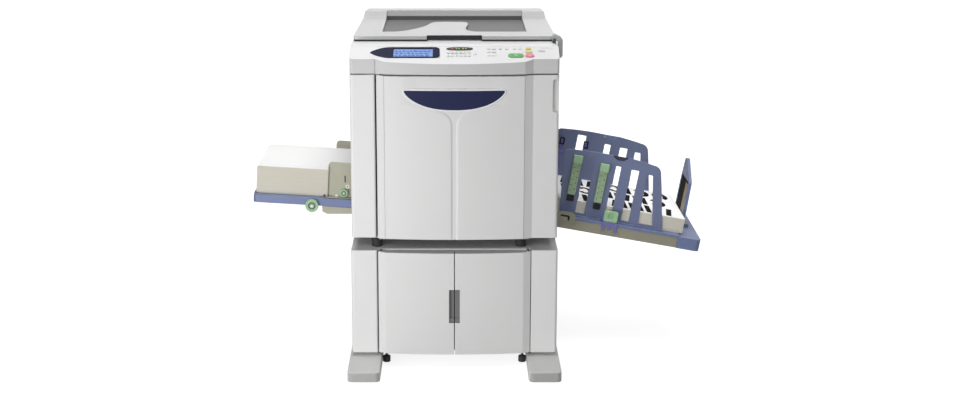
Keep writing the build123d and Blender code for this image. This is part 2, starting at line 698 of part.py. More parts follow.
def roller(radius, x, z, body_front, body_rear):
    """A roller whose shaft ends turn in both frame plates."""
    shaft = rod(PRESS_SHAFT_RADIUS, x, z, FRAME_FRONT, FRAME_REAR + FRAME_PLATE)
    return shaft + rod(radius, x, z, body_front, body_rear)


def pressure_roller():
    """The rubber roller that presses the paper against the drum."""
    return roller(PRESS_ROLLER_RADIUS, DRUM_X, PRESS_Z, DRUM_FRONT + 6, DRUM_REAR - 6)


def pickup_roller():
    """The feed roller over the stack: three ribbed tyres on one shaft."""
    middle = PAPER_FRONT + PAPER_WIDTH / 2
    shaft = roller(PICKUP_RADIUS - 5, PICKUP_X, PICKUP_Z, middle - 70, middle + 70)
    for offset in (-46, 0, 46):
        shaft += rod(PICKUP_RADIUS, PICKUP_X, PICKUP_Z, middle + offset - 13, middle + offset + 13)
    return shaft


def timing_roller():
    """The steel roller that sends each sheet on in time with the drum."""
    return roller(11.0, TIMING_X, TIMING_Z, PAPER_FRONT - 5, PAPER_FRONT + PAPER_WIDTH + 5)


def master_roll():
    """The roll of master film with its flanged core."""
    core = roller(16.0, MASTER_X, MASTER_Z, PAPER_FRONT - 14, PAPER_FRONT + PAPER_WIDTH + 14)
    core += rod(MASTER_RADIUS, MASTER_X, MASTER_Z, PAPER_FRONT, PAPER_FRONT + PAPER_WIDTH)
    for y in (PAPER_FRONT - 10, PAPER_FRONT + PAPER_WIDTH + 6):
        core += rod(MASTER_RADIUS + 4, MASTER_X, MASTER_Z, y, y + 4)
    return core


def master_unit():
    """The master making unit: a thermal head bar with its platen and cutter housing."""
    x1 = MASTER_X - MASTER_RADIUS - 12
    x0 = x1 - 40
    low = MASTER_Z - 39
    top = MASTER_Z + 17
    outline = [(x0, low + 12), (x0 + 10, low), (x1, low), (x1, top - 12), (x1 - 12, top), (x0, top)]
    unit = front_plate(outline, FRAME_FRONT + FRAME_PLATE + 0.3, FRAME_REAR - 0.3)
    return unit - block(x0 + 8, x1 - 8, PAPER_FRONT, PAPER_FRONT + PAPER_WIDTH, top - 10, top + 8)


def main_motor():
    """The drive motor on the rear frame plate, with its output pulley."""
    back = FRAME_REAR + FRAME_PLATE
    half = MOTOR_PLATE / 2
    motor = rod(MOTOR_RADIUS, MOTOR_X, MOTOR_Z, FRAME_REAR - MOTOR_LENGTH, back)
    motor += round_along_y(block(MOTOR_X - half, MOTOR_X + half, FRAME_REAR - 6, FRAME_REAR,
                                 MOTOR_Z - half, MOTOR_Z + half), 8)
    return motor + rod(PULLEY_RADIUS, MOTOR_X, MOTOR_Z, back, back + PULLEY_LENGTH)


def suction_unit():
    """The belt unit that carries a printed sheet from the drum to the exit."""
    inlet_x = DRUM_X + SUCTION_REACH
    outlet_x = HALF - SHEET - 6
    top = PRESS_Z - 7.7
    rise = 12.0
    outline = [(inlet_x, top), (outlet_x, top + rise), (outlet_x, top - 16), (inlet_x + 60, top - 44),
               (inlet_x, top - 26)]
    unit = front_plate(outline, FRAME_FRONT + FRAME_PLATE + 0.3, FRAME_REAR - 80)
    for offset in (-90, -30, 30, 90):
        y = PAPER_FRONT + PAPER_WIDTH / 2 + offset
        belt = [(inlet_x + 4, top - 1), (outlet_x - 4, top + rise - 1), (outlet_x - 4, top + rise + 2),
                (inlet_x + 4, top + 2.4)]
        unit += front_plate(belt, y - 9, y + 9)
    return unit


def power_supply():
    """The power supply box on the floor pan, with cooling slots."""
    x0 = SUPPLY_X
    z0 = BODY_BOTTOM + 8
    front = FRAME_REAR - SUPPLY_DEPTH
    box = block(x0, x0 + SUPPLY_WIDTH, front, FRAME_REAR - 0.3, z0, z0 + SUPPLY_HEIGHT)
    for step in range(7):
        x = x0 + (step + 0.67) * SUPPLY_WIDTH / 7.6
        box -= block(x, x + 8, front - 1, front + 3, z0 + 21, z0 + SUPPLY_HEIGHT - 16)
    return box


def master_disposal_box():
    """The box for used masters: open towards the drum, with a grip in its outer face."""
    wall = 2.5
    box = block(-HALF + 0.5, BOX_INNER, BOX_FRONT, BOX_REAR, BOX_BOTTOM, BOX_TOP)
    box -= block(-HALF + 26, BOX_INNER + 1, BOX_FRONT + wall, BOX_REAR - wall, BOX_BOTTOM + wall,
                 BOX_TOP - wall)
    middle = (BOX_FRONT + BOX_REAR) / 2
    grip = block(-HALF - 1, -HALF + 20, middle - 55, middle + 55, BOX_TOP - 50, BOX_TOP - 20)
    return box - fillet(grip.edges().filter_by(Axis.X), 8.0)


def disposal_box_runner():
    """The shelf that the used-master box slides on, screwed between the frame plates."""
    shelf = block(-HALF + SHEET + 1, BOX_INNER, FRAME_FRONT + FRAME_PLATE + 0.3, FRAME_REAR - 0.3,
                  BOX_BOTTOM - 3.3, BOX_BOTTOM - 0.3)
    for y in (BOX_FRONT - 4.3, BOX_REAR + 0.3):
        shelf += block(-HALF + SHEET + 1, BOX_INNER, y, y + 4, BOX_BOTTOM - 2, BOX_BOTTOM + 18)
    return shelf


# Front cover with its emblem plate
EMBLEM_HALF = 154.0
EMBLEM_TOP = 864.0
EMBLEM_BOTTOM = 806.0
EMBLEM_RIM = 4.0
STEM_HALF = 8.0
STEM_TOP = 748.0
STEM_MOUTH = 73.0
GROOVE_DEPTH = 2.2
POCKET_DEPTH = 1.5
PULL_BOTTOM = 800.0
PULL_TOP = 900.0
PULL_WIDTH = 19.0
PULL_DEPTH = 10.0


def emblem_outline(grow):
    """The crescent seen from the front, made larger all round by grow."""
    half = EMBLEM_HALF + grow
    shoulder = EMBLEM_TOP - 10
    top = ThreePointArc((-half, -60, shoulder + grow), (0, -60, EMBLEM_TOP + grow + 1.5),
                        (half, -60, shoulder + grow))
    right = Line((half, -60, shoulder + grow), (half, -60, shoulder - 8))
    bottom = ThreePointArc((half, -60, shoulder - 8), (0, -60, EMBLEM_BOTTOM - grow),
                           (-half, -60, shoulder - 8))
    left = Line((-half, -60, shoulder - 8), (-half, -60, shoulder + grow))
    face = Face(Wire([top, right, bottom, left]))
    return extrude(face, amount=160, dir=(0, 1, 0))


def stem_outline():
    """The groove that falls from the crescent like the stem of a tulip."""
    flare_z = EMBLEM_BOTTOM + 14
    right = ThreePointArc((STEM_HALF, -60, STEM_TOP), (STEM_HALF + 14, -60, STEM_TOP + 44),
                          (STEM_MOUTH, -60, flare_z))
    left = ThreePointArc((-STEM_MOUTH, -60, flare_z), (-STEM_HALF - 14, -60, STEM_TOP + 44),
                         (-STEM_HALF, -60, STEM_TOP))
    low = COVER_BOTTOM - 2
    foot = Polyline((-STEM_HALF, -60, STEM_TOP), (-STEM_HALF, -60, low), (STEM_HALF, -60, low),
                    (STEM_HALF, -60, STEM_TOP))
    head = Polyline((STEM_MOUTH, -60, flare_z), (STEM_MOUTH, -60, flare_z + 20),
                    (-STEM_MOUTH, -60, flare_z + 20), (-STEM_MOUTH, -60, flare_z))
    outline = Wire([*right.edges(), *head.edges(), *left.edges(), *foot.edges()])
    return extrude(Face(outline), amount=160, dir=(0, 1, 0))


def front_cover():
    """The front cover: a moulded tray with the crescent pocket, the stem and an edge pull."""
    cover = front_skin(HALF, -DOOR_EDGE, HALF, COVER_BOTTOM, COVER_TOP, FRONT_WALL, DOOR_DEPTH)
    cover += front_layer(emblem_outline(EMBLEM_RIM), -1.2, 1)
    cover -= front_layer(stem_outline(), -3, GROOVE_DEPTH) - emblem_outline(EMBLEM_RIM)
    cover -= front_layer(emblem_outline(0.4), -3, POCKET_DEPTH)
    cover += block(HALF - PULL_WIDTH - 4, HALF - 1, 2, DOOR_DEPTH, PULL_BOTTOM - 6, PULL_TOP + 6)
    pull = block(HALF - PULL_WIDTH, HALF + 8, -2, PULL_DEPTH, PULL_BOTTOM, PULL_TOP)
    cover -= round_along_y(pull, 7.0)
    return hinged_skin(cover, -HINGE_X, COVER_BOTTOM, COVER_TOP)


def emblem_plate():
    """The bare crescent plate that sits in its pocket and follows the bowed front."""
    return front_layer(emblem_outline(0), -0.6, POCKET_DEPTH)


# Scanner table, panel and lid
DECK_FRONT = PANEL_DEPTH + 0.4
PANEL_RISE = DECK_TOP - 1.0 - PANEL_FRONT_TOP
PANEL_ANGLE = math.degrees(math.atan2(PANEL_RISE, PANEL_DEPTH))


def panel_place(x, y, height=0.0):
    """A place on the sloping panel, with z along its outward normal."""
    return Pos(x, y, PANEL_FRONT_TOP + y * PANEL_RISE / PANEL_DEPTH) * Rot(PANEL_ANGLE, 0, 0) * Pos(
        0, 0, height)


def scanner_housing():
    """The scanner table: a box with the carriage's hollow under the glass."""
    housing = block(-HALF, HALF, DECK_FRONT, BODY_DEPTH, TABLE_BOTTOM, DECK_TOP)
    housing = fillet(housing.faces().sort_by(Axis.Z)[-1].edges().filter_by(Axis.Y), 3.0)
    hollow = block(-GLASS_WIDTH / 2 + 6, GLASS_WIDTH / 2 - 6, GLASS_FRONT + 6,
                   GLASS_FRONT + GLASS_LENGTH - 6, SCAN_CAVITY_FLOOR, DECK_TOP + 1)
    seat = block(-GLASS_WIDTH / 2 - 0.2, GLASS_WIDTH / 2 + 0.2, GLASS_FRONT - 0.2,
                 GLASS_FRONT + GLASS_LENGTH + 0.2, DECK_TOP - GLASS_THICKNESS, DECK_TOP + 1)
    housing = housing - hollow - seat
    for side in (-1, 1):
        low, high = sorted((side * (GLASS_WIDTH / 2 + 8), side * (HALF - 8)))
        housing -= block(low, high, DECK_FRONT + 24, BODY_DEPTH - 60, TABLE_BOTTOM - 1, DECK_TOP - 8)
    return housing


def scanner_glass():
    """The platen glass, flush with the deck."""
    return block(-GLASS_WIDTH / 2, GLASS_WIDTH / 2, GLASS_FRONT, GLASS_FRONT + GLASS_LENGTH,
                 DECK_TOP - GLASS_THICKNESS, DECK_TOP)


def scan_rails():
    """Two round rails that the scanning carriage runs on."""
    x = GLASS_WIDTH / 2 - 6
    bars = []
    for y in (GLASS_FRONT + SCAN_RAIL_INSET, GLASS_FRONT + GLASS_LENGTH - SCAN_RAIL_INSET):
        bars.append(across(SCAN_RAIL_RADIUS, -x, x, y, SCAN_CAVITY_FLOOR + SCAN_RAIL_HEIGHT))
    return Compound(bars)


def scan_carriage():
    """The lamp and mirror carriage, bored for its rails."""
    x0 = -GLASS_WIDTH / 2 + 10
    y0 = GLASS_FRONT + 14
    y1 = GLASS_FRONT + GLASS_LENGTH - 14
    x1 = x0 + SCAN_CARRIAGE_WIDTH
    carriage = block(x0, x1, y0, y1, SCAN_CAVITY_FLOOR + 6, DECK_TOP - GLASS_THICKNESS - 6)
    carriage -= block(x0 + 12, x1 - 12, y0 + 14, y1 - 14, DECK_TOP - 28, DECK_TOP)
    for y in (GLASS_FRONT + SCAN_RAIL_INSET, GLASS_FRONT + GLASS_LENGTH - SCAN_RAIL_INSET):
        carriage -= across(SCAN_RAIL_RADIUS + SLIDE_CLEARANCE, x0 - 1, x1 + 1, y,
                           SCAN_CAVITY_FLOOR + SCAN_RAIL_HEIGHT)
    return carriage


# Places of the controls on the panel: x from the middle, y up the slope, size across and up
DISPLAY_LEFT = -182.0
DISPLAY_RIGHT = -65.0
DISPLAY_LOW = 10.0
DISPLAY_HIGH = 51.0
BEZEL_LEFT = -253.0
BEZEL_RIGHT = -44.0
BEZEL_LOW = 5.0
BEZEL_HIGH = 59.0
BEZEL_THICKNESS = 1.6
LENS_LEFT = -24.0
LENS_RIGHT = 56.0
LENS_MIDDLE = 51.0
NUMBER_COLUMNS = 6
NUMBER_ROWS = 2
NUMBER_PITCH = 12.4
NUMBER_ROW_PITCH = 15.5
NUMBER_FIRST_X = -18.0
NUMBER_FIRST_Y = 15.0
FUNCTION_COLUMNS = (102.6, 118.2)
FUNCTION_ROWS = (18.0, 35.0, 51.0)
SMALL_KEYS = ((62.0, 24.0), (137.0, 51.0), (157.0, 51.0), (181.0, 51.0), (197.0, 51.0))


def key_cap(x, y, width, length, radius):
    """A key with rounded corners that stands a little above the panel."""
    face = fillet(Rectangle(width, length).vertices(), radius)
    cap = extrude(face, KEY_HEIGHT + KEY_POCKET - 1.5)
    return panel_place(x, y, -(KEY_POCKET - 1.5)) * cap


def key_room(x, y, width, length, radius):
    """The pocket of such a key."""
    grow = 2 * KEY_GAP
    face = fillet(Rectangle(width + grow, length + grow).vertices(), radius + KEY_GAP)
    return panel_place(x, y, -KEY_POCKET) * extrude(face, KEY_POCKET + 12)


NUMBER_KEYS = [
    (NUMBER_FIRST_X + column * NUMBER_PITCH, NUMBER_FIRST_Y + row * NUMBER_ROW_PITCH, 9.2, 8.6, 3.8)
    for column in range(NUMBER_COLUMNS)
    for row in range(NUMBER_ROWS)
]
FUNCTION_KEYS = [
    *[(x, y, 11.0, 6.5, 2.5) for x in FUNCTION_COLUMNS for y in FUNCTION_ROWS],
    *[(x, y, 9.0, 6.0, 2.4) for x, y in SMALL_KEYS],
]
START_KEY = [(183.5, 16.0, 46.0, 20.0, 9.8)]
STOP_KEY = [(225.0, 15.0, 27.0, 14.5, 7.0)]
RESET_KEYS = [(223.0, 34.0, 20.0, 11.0, 3.0), (222.0, 51.5, 15.0, 9.0, 3.0)]


def keys(places):
    """One group of keys."""
    return Compound([key_cap(*place) for place in places])


def bezel_outline(grow):
    """The bullet-shaped plate round the display."""
    middle = (BEZEL_LOW + BEZEL_HIGH) / 2
    half = (BEZEL_HIGH - BEZEL_LOW) / 2 + grow
    start = BEZEL_LEFT + 62
    right = BEZEL_RIGHT + grow
    top = ThreePointArc((BEZEL_LEFT - grow, 0), (BEZEL_LEFT + 20, half * 0.62), (start, half))
    bottom = ThreePointArc((start, -half), (BEZEL_LEFT + 20, -half * 0.62), (BEZEL_LEFT - grow, 0))
    rim = Polyline((start, half), (right, half), (right, -half), (start, -half))
    return Face(Wire([*top.edges(), *rim.edges(), *bottom.edges()])), middle


def bezel_solid(grow, depth, height):
    """The bezel's form, from depth below the panel to height above it."""
    face, middle = bezel_outline(grow)
    return panel_place(0, middle, -depth) * extrude(face, depth + height, dir=(0, 0, 1))


def display_window(grow, depth, height):
    """The window of the display, from depth below the panel to height above it."""
    width = DISPLAY_RIGHT - DISPLAY_LEFT + grow
    length = DISPLAY_HIGH - DISPLAY_LOW + grow
    face = fillet(Rectangle(width, length).vertices(), 2.0)
    place = panel_place((DISPLAY_LEFT + DISPLAY_RIGHT) / 2, (DISPLAY_LOW + DISPLAY_HIGH) / 2, -depth)
    return place * extrude(face, depth + height)


def lens_solid(grow, depth, height):
    """The lens-shaped window of the indicator lights."""
    half = (LENS_RIGHT - LENS_LEFT) / 2 + grow
    rise = 6.5 + grow
    top = ThreePointArc((-half, 0), (0, rise), (half, 0))
    bottom = ThreePointArc((half, 0), (0, -rise), (-half, 0))
    face = Face(Wire([top, bottom]))
    place = panel_place((LENS_LEFT + LENS_RIGHT) / 2, LENS_MIDDLE, -depth)
    return place * extrude(face, depth + height, dir=(0, 0, 1))


def control_panel():
    """The moulded panel: bowed front band, sloping top, pockets for keys and windows."""
    reach = RAMP_DEPTH + FRONT_BOW + 20
    panel = front_solid(HALF, 0, PANEL_DEPTH, TABLE_BOTTOM, DECK_TOP - 1)
    above = side_plate([(-reach, PANEL_FRONT_TOP - reach * PANEL_RISE / PANEL_DEPTH),
                        (PANEL_DEPTH, PANEL_FRONT_TOP + PANEL_RISE), (PANEL_DEPTH, DECK_TOP + 40),
                        (-reach, DECK_TOP + 40)], -HALF - 5, HALF + 5)
    panel -= above
    top_edges = [edge for edge in panel.edges() if edge.center().Z > PANEL_FRONT_TOP - 20
                 and edge.center().Y < -2 and edge.bounding_box().size.Z < 8]
    panel = fillet(top_edges, 2.5)
    panel -= bezel_solid(0.2, BEZEL_THICKNESS, 12)
    panel -= display_window(0.4, 6, 12)
    panel -= lens_solid(0.2, 1.2, 12)
    for place in [*NUMBER_KEYS, *FUNCTION_KEYS, *START_KEY, *STOP_KEY, *RESET_KEYS]:
        panel -= key_room(*place)
    slot = extrude(fillet(Rectangle(40, 18).vertices(), 2.0), 20)
    return panel - panel_place(278, 49, -1.5) * slot


def display_bezel():
    """The dark plate round the display and the lens of the indicator lights."""
    plate = bezel_solid(0, BEZEL_THICKNESS, 0.5) - display_window(0.4, 8, 12)
    return Compound([plate, lens_solid(0, 1.2, 0.5)])


def display():
    """The display glass, set just below the face of its bezel."""
    return display_window(0, 6, 0.1)


LEVER_Y = 140.0
LEVER_WIDTH = 28.0
LEVER_PIVOT_X = 305.0
LEVER_PIVOT_Z = 1001.0


def release_lever():
    """The grey lever over the right flank that frees the scanner table."""
    outline = [(299, 997), (299, 1012), (306, 1019), (326, 1009), (331, 1000), (331, 952),
               (327, 946), (320, 946), (317, 952), (317, 991), (314, 997)]
    lever = front_plate(outline, LEVER_Y - LEVER_WIDTH / 2, LEVER_Y + LEVER_WIDTH / 2)
    lever = fillet(lever.edges().filter_by(Axis.Y), 1.5)
    return lever - rod(3 + PIN_CLEARANCE, LEVER_PIVOT_X, LEVER_PIVOT_Z, LEVER_Y - 40, LEVER_Y + 40)


def lever_pivot():
    """The pin of the release lever in two ears that stand on the deck."""
    pin = rod(3, LEVER_PIVOT_X, LEVER_PIVOT_Z, LEVER_Y - LEVER_WIDTH / 2 - 5,
              LEVER_Y + LEVER_WIDTH / 2 + 5)
    for side in (-1, 1):
        near = LEVER_Y + side * (LEVER_WIDTH / 2 + 0.5)
        low, high = sorted((near, near + side * 4))
        pin += block(LEVER_PIVOT_X - 5, LEVER_PIVOT_X + 5, low, high, DECK_TOP, LEVER_PIVOT_Z)
        pin += rod(5, LEVER_PIVOT_X, LEVER_PIVOT_Z, low, high)
    return pin


def lid_side_profile():
    """The lid seen from the side: low front, crease, and the raised back."""
    return [(LID_FRONT, LID_BOTTOM), (LID_FRONT, LID_FRONT_TOP), (LID_CREASE, LID_CREASE_TOP),
            (LID_RIDGE, LID_TOP - 3), (BODY_DEPTH, LID_TOP), (BODY_DEPTH, LID_BOTTOM)]


def lid_block():
    """The lid's outer form, tapered towards the back."""
    body = side_plate(lid_side_profile(), -LID_FRONT_HALF, LID_FRONT_HALF)
    crease_half = LID_FRONT_HALF - 8
    plan = [(-LID_FRONT_HALF, LID_FRONT, 0), (LID_FRONT_HALF, LID_FRONT, 0),
            (crease_half, LID_CREASE, 0), (LID_REAR_HALF, BODY_DEPTH, 0),
            (-LID_REAR_HALF, BODY_DEPTH, 0), (-crease_half, LID_CREASE, 0)]
    prism = extrude(make_face(Polyline(*plan, close=True)), amount=LID_TOP + 10, dir=(0, 0, 1))
    prism = fillet([edge for edge in prism.edges().filter_by(Axis.Z)
                    if edge.center().Y < LID_FRONT + 1], 12.0)
    return body & prism


def well_outline():
    """The well of the lid with the wave-shaped tongue that runs in from its front wall."""
    base = WELL_FRONT
    wave = Spline((-190, base, 0), (-134, base + 46, 0), (-84, base + 150, 0), (-43, TONGUE_REACH, 0),
                  tangents=[(1, 0.25, 0), (1, 0, 0)])
    crest = Line((-43, TONGUE_REACH, 0), (14, TONGUE_REACH, 0))
    fall = Spline((14, TONGUE_REACH, 0), (38, base + 105, 0), (74, base, 0),
                  tangents=[(1, 0, 0), (1, -0.25, 0)])
    frame = Polyline((74, base, 0), (WELL_HALF, base, 0), (WELL_HALF, WELL_REAR, 0),
                     (-WELL_HALF, WELL_REAR, 0), (-WELL_HALF, base, 0), (-190, base, 0))
    return Face(Wire([*wave.edges(), *crest.edges(), *fall.edges(), *frame.edges()]))


PAD_THICKNESS = 6.0
PAD_INSET = 22.0
LUG_HALF = 16.0
LID_HINGE_X = 225.0


def lid():
    """The platen cover: shallow well on top, pad recess below, finger grip and hinge lugs."""
    cover = lid_block()
    cover -= Pos(0, 0, WELL_FLOOR) * extrude(well_outline(), amount=60, dir=(0, 0, 1))
    cover -= pad_block(0.2, 1.0)
    grip = block(-85, 85, LID_FRONT - 1, LID_FRONT + 18, LID_BOTTOM - 1, LID_BOTTOM + 9)
    cover -= round_along_y(grip, 4.0)
    for side in (-1, 1):
        x = side * LID_HINGE_X
        lug = block(x - LUG_HALF, x + LUG_HALF, BODY_DEPTH - 2, LID_PIN_Y, LID_PIN_Z - LID_KNUCKLE,
                    LID_PIN_Z + LID_KNUCKLE)
        lug += across(LID_KNUCKLE, x - LUG_HALF, x + LUG_HALF, LID_PIN_Y, LID_PIN_Z)
        cover += lug
        cover -= across(LID_PIN_RADIUS + PIN_CLEARANCE, x - 2 * LUG_HALF, x + 2 * LUG_HALF,
                        LID_PIN_Y, LID_PIN_Z)
    return cover


def across(radius, x0, x1, y, z):
    """A round bar that lies from side to side."""
    return Pos((x0 + x1) / 2, y, z) * Rot(0, 90, 0) * Cylinder(radius, x1 - x0)


def pad_block(gap, below):
    """The pad's form under the lid, with room round it and below it."""
    half = LID_REAR_HALF - PAD_INSET + gap
    return block(-half, half, LID_FRONT + PAD_INSET - gap, BODY_DEPTH - PAD_INSET + gap,
                 LID_BOTTOM - below, LID_BOTTOM + 4)


def lid_pad():
    """The white pad under the lid."""
    return pad_block(0, 1.6)


def lid_hinges():
    """Two hinge blocks on the back of the scanner table, each with its pin."""
    blocks = []
    for side in (-1, 1):
        x = side * LID_HINGE_X
        body = block(x - LUG_HALF - 6, x + LUG_HALF + 6, BODY_DEPTH, HINGE_BLOCK_BACK, DECK_TOP - 51, DECK_TOP - 1)
        for ear in (-1, 1):
            near = x + ear * (LUG_HALF + 0.5)
            low, high = sorted((near, near + ear * 5.5))
            body += block(low, high, LID_PIN_Y - LID_EAR, LID_PIN_Y + LID_EAR, DECK_TOP - 3,
                          LID_PIN_Z)
            body += across(LID_EAR, low, high, LID_PIN_Y, LID_PIN_Z)
        body += across(LID_PIN_RADIUS, x - LUG_HALF - 2, x + LUG_HALF + 2, LID_PIN_Y, LID_PIN_Z)
        blocks.append(body)
    return Compound(blocks)


# Feed side, drawn in its tray frame: u runs along the tray (negative is outwards)
TRAY_INNER = PAPER_LENGTH - (FEED_END - HALF) - 4.0
TRAY_OUTER = -(FEED_END - HALF)
STACK_INNER = TRAY_OUTER + 6.0 + PAPER_LENGTH
FEED_GUIDE_NEAR = -3.0
POST_HALF = 6.0
POST_X = -HALF + 20.0
POST_BESIDE_PAPER = 14.0
POST_PLACES = (PAPER_FRONT - POST_BESIDE_PAPER, PAPER_FRONT + PAPER_WIDTH + POST_BESIDE_PAPER)


def feed_tray():
    """The blue paper tray: a shallow pan with a lip at its outer end and two arms below."""
    pan = block(TRAY_OUTER, TRAY_INNER, TRAY_FRONT, TRAY_REAR, -TRAY_THICKNESS, 0)
    pan = fillet([edge for edge in pan.edges().filter_by(Axis.Z)
                  if edge.center().X < TRAY_OUTER + 1], 14.0)
    hollow = block(TRAY_OUTER + 5, TRAY_INNER - 5, TRAY_FRONT + 5, TRAY_REAR - 5,
                   -TRAY_THICKNESS - 1, -5)
    pan -= hollow
    for step in range(5):
        x = TRAY_OUTER + 60 + step * 80
        pan += block(x, x + 3, TRAY_FRONT + 4, TRAY_REAR - 4, -TRAY_THICKNESS + 4, -4)
    pan += block(TRAY_OUTER + 1, TRAY_OUTER + 5, TRAY_FRONT + 14, TRAY_REAR - 14, -6, 4)
    tray = feed_place() * pan
    for y in POST_PLACES:
        tray -= lift_post(y, 0.5)
    return tray


def lift_post(y, grow):
    """The square post that one arm of the tray climbs on."""
    half = POST_HALF + grow
    return block(POST_X - half, POST_X + half, y - half, y + half, BODY_BOTTOM + 8 - grow,
                 BOX_BOTTOM - 3.6 + grow)


def lift_posts():
    """The two posts inside the left cover, from the floor pan to the box shelf."""
    return Compound([lift_post(y, 0) for y in POST_PLACES])


def feed_arms():
    """The beige support brackets under the tray, each with a sleeve round its post."""
    arms = []
    for y in POST_PLACES:
        top = FEED_TOP - TRAY_THICKNESS - 2.5
        low = top - 19
        tip = -HALF - ARM_REACH
        outline = [(tip, top + 6), (tip, low + 8), (tip + 15, low), (POST_X + 10, low),
                   (POST_X + 10, top), (-HALF - 2, top), (tip + 10, top + 6)]
        arm = front_plate(outline, y - ARM_WIDTH / 2, y + ARM_WIDTH / 2)
        sleeve = block(POST_X - 10, POST_X + 10, y - 10, y + 10, low, top)
        arms.append(arm + sleeve - lift_post(y, 0.3))
    return Compound(arms)


def feed_guide(front):
    """One side guide: a thin sheet with a rounded corner, a folded edge and a foot."""
    near = PAPER_FRONT - GUIDE_GAP if front else PAPER_FRONT + PAPER_WIDTH + GUIDE_GAP
    out = -1 if front else 1
    low, high = sorted((near, near + out * GUIDE_SHEET))
    sheet = block(FEED_GUIDE_NEAR - FEED_GUIDE_LENGTH, FEED_GUIDE_NEAR, low, high, 0.4,
                  FEED_GUIDE_HEIGHT)
    sheet = fillet(sheet.edges().filter_by(Axis.Y).sort_by(Axis.X)[:2].sort_by(Axis.Z)[-1], 12.0)
    fold_low, fold_high = sorted((near, near + out * 9))
    fold = block(FEED_GUIDE_NEAR - FEED_GUIDE_LENGTH, FEED_GUIDE_NEAR - FEED_GUIDE_LENGTH + 2,
                 fold_low, fold_high, 0.4, FEED_GUIDE_HEIGHT - 13)
    foot_low, foot_high = sorted((near, near + out * 16))
    foot = block(FEED_GUIDE_NEAR - FEED_GUIDE_LENGTH, FEED_GUIDE_NEAR, foot_low, foot_high, 0.4, 2.4)
    return feed_place() * (sheet + fold + foot)


def feed_guide_front():
    """The front side guide, with the round boss that carries its lock knob."""
    face = PAPER_FRONT - GUIDE_GAP - GUIDE_SHEET
    return feed_guide(True) + rod(4.0, KNOB_X, KNOB_Z, face - WHEEL_WIDTH - 2, face)


def feed_guide_rear():
    """The rear side guide."""
    return feed_guide(False)


def grip_wheel(radius, x, z, front, ribs):
    """A knob with ribs round its rim and a hub ring, on a bore for its pin."""
    wheel = rod(radius - 1.2, x, z, front, front + WHEEL_WIDTH)
    for index in range(ribs):
        turn = 360 / ribs * index
        rib = Pos(x, front + WHEEL_WIDTH / 2, z) * Rot(0, turn, 0) * Pos(0, 0, radius - 1.5)
        wheel += rib * Box(2.2, WHEEL_WIDTH - 2, 3.0)
    wheel -= rod(radius * 0.55, x, z, front - 1, front + 2)
    return wheel + rod(radius * 0.38, x, z, front, front + 4)


def guide_lock_knob():
    """The small green knob that locks the side guides."""
    front = PAPER_FRONT - GUIDE_GAP - GUIDE_SHEET - WHEEL_WIDTH - 1
    knob = grip_wheel(KNOB_RADIUS, KNOB_X, KNOB_Z, front, 14)
    return knob - rod(4.0 + SHAFT_CLEARANCE, KNOB_X, KNOB_Z, front - 2, front + 30)


def position_dial():
    """The large green dial that shifts the paper across its path."""
    front = TRAY_FRONT - WHEEL_WIDTH - 0.5
    dial = grip_wheel(DIAL_RADIUS, DIAL_X, DIAL_Z, front, 20)
    return dial - rod(5.0 + SHAFT_CLEARANCE, DIAL_X, DIAL_Z, front - 2, front + 30)


def dial_spindle():
    """The spindle of the large dial with its bearing block under the tray's edge."""
    front = TRAY_FRONT - WHEEL_WIDTH - 0.5
    spindle = rod(5.0, DIAL_X, DIAL_Z, front - 1.0, TRAY_FRONT + 26)
    spindle += rod(8.0, DIAL_X, DIAL_Z, TRAY_FRONT - 0.3, TRAY_FRONT + 26)
    below_pan = feed_place() * block(TRAY_OUTER - 20, TRAY_INNER, TRAY_FRONT - 60, TRAY_REAR,
                                     -TRAY_THICKNESS - 0.3, 40)
    hanger = block(DIAL_X - 9, DIAL_X + 9, TRAY_FRONT + 6, TRAY_FRONT + 14, DIAL_Z - 12, DIAL_Z + 26)
    inside = feed_place() * block(TRAY_OUTER + 6, TRAY_INNER - 6, TRAY_FRONT + 5.3, TRAY_REAR - 6,
                                  -80, -5.3)
    spindle += hanger & inside
    return spindle - (below_pan - inside)


def feed_paper_stack():
    """The loaded paper, 432 mm sheets on the tray."""
    sheet = block(TRAY_OUTER + 6, STACK_INNER, PAPER_FRONT, PAPER_FRONT + PAPER_WIDTH, 0.3,
                  FEED_STACK)
    return feed_place() * sheet


# Receiving side, drawn in its tray frame: u runs outwards, w is square to the tray
def exit_block(u0, u1, y0, y1, w0, w1):
    """A block in the frame of the receiving tray."""
    return exit_place() * block(u0, u1, y0, y1, w0, w1)


WING_FRONT_Y = PAPER_FRONT - WING_GAP - WING_SHEET
WING_REAR_Y = PAPER_FRONT + PAPER_WIDTH + WING_GAP
EXIT_FRONT = PAPER_FRONT - 30.0
EXIT_REAR = PAPER_FRONT + PAPER_WIDTH + 30.0
RAIL_SHEET = 3.0


def receiving_tray():
    """The blue tray plate with stiffening ribs below and its moulded end cap."""
    plate = block(2, EXIT_TRAY_LENGTH, EXIT_FRONT - 1, EXIT_REAR + 1, -EXIT_TRAY_THICKNESS, 0)
    for step in range(4):
        u = 60 + 100 * step
        plate += block(u, u + 3, EXIT_FRONT + 12, EXIT_REAR - 12, -20, -EXIT_TRAY_THICKNESS)
    cap = block(EXIT_TRAY_LENGTH - 2, EXIT_TRAY_LENGTH + END_CAP_LENGTH, EXIT_FRONT - 3,
                EXIT_REAR + 3, -EXIT_RAIL_DEPTH - 8, -3)
    cap = fillet([edge for edge in cap.edges().filter_by(Axis.Z) if edge.center().X > EXIT_TRAY_LENGTH], END_CAP_CORNER)
    cap -= block(EXIT_TRAY_LENGTH - 3, EXIT_TRAY_LENGTH + END_CAP_LENGTH - 5, EXIT_FRONT + 2,
                 EXIT_REAR - 2, -EXIT_RAIL_DEPTH - 9, -8)
    plate += cap
    return exit_place() * plate


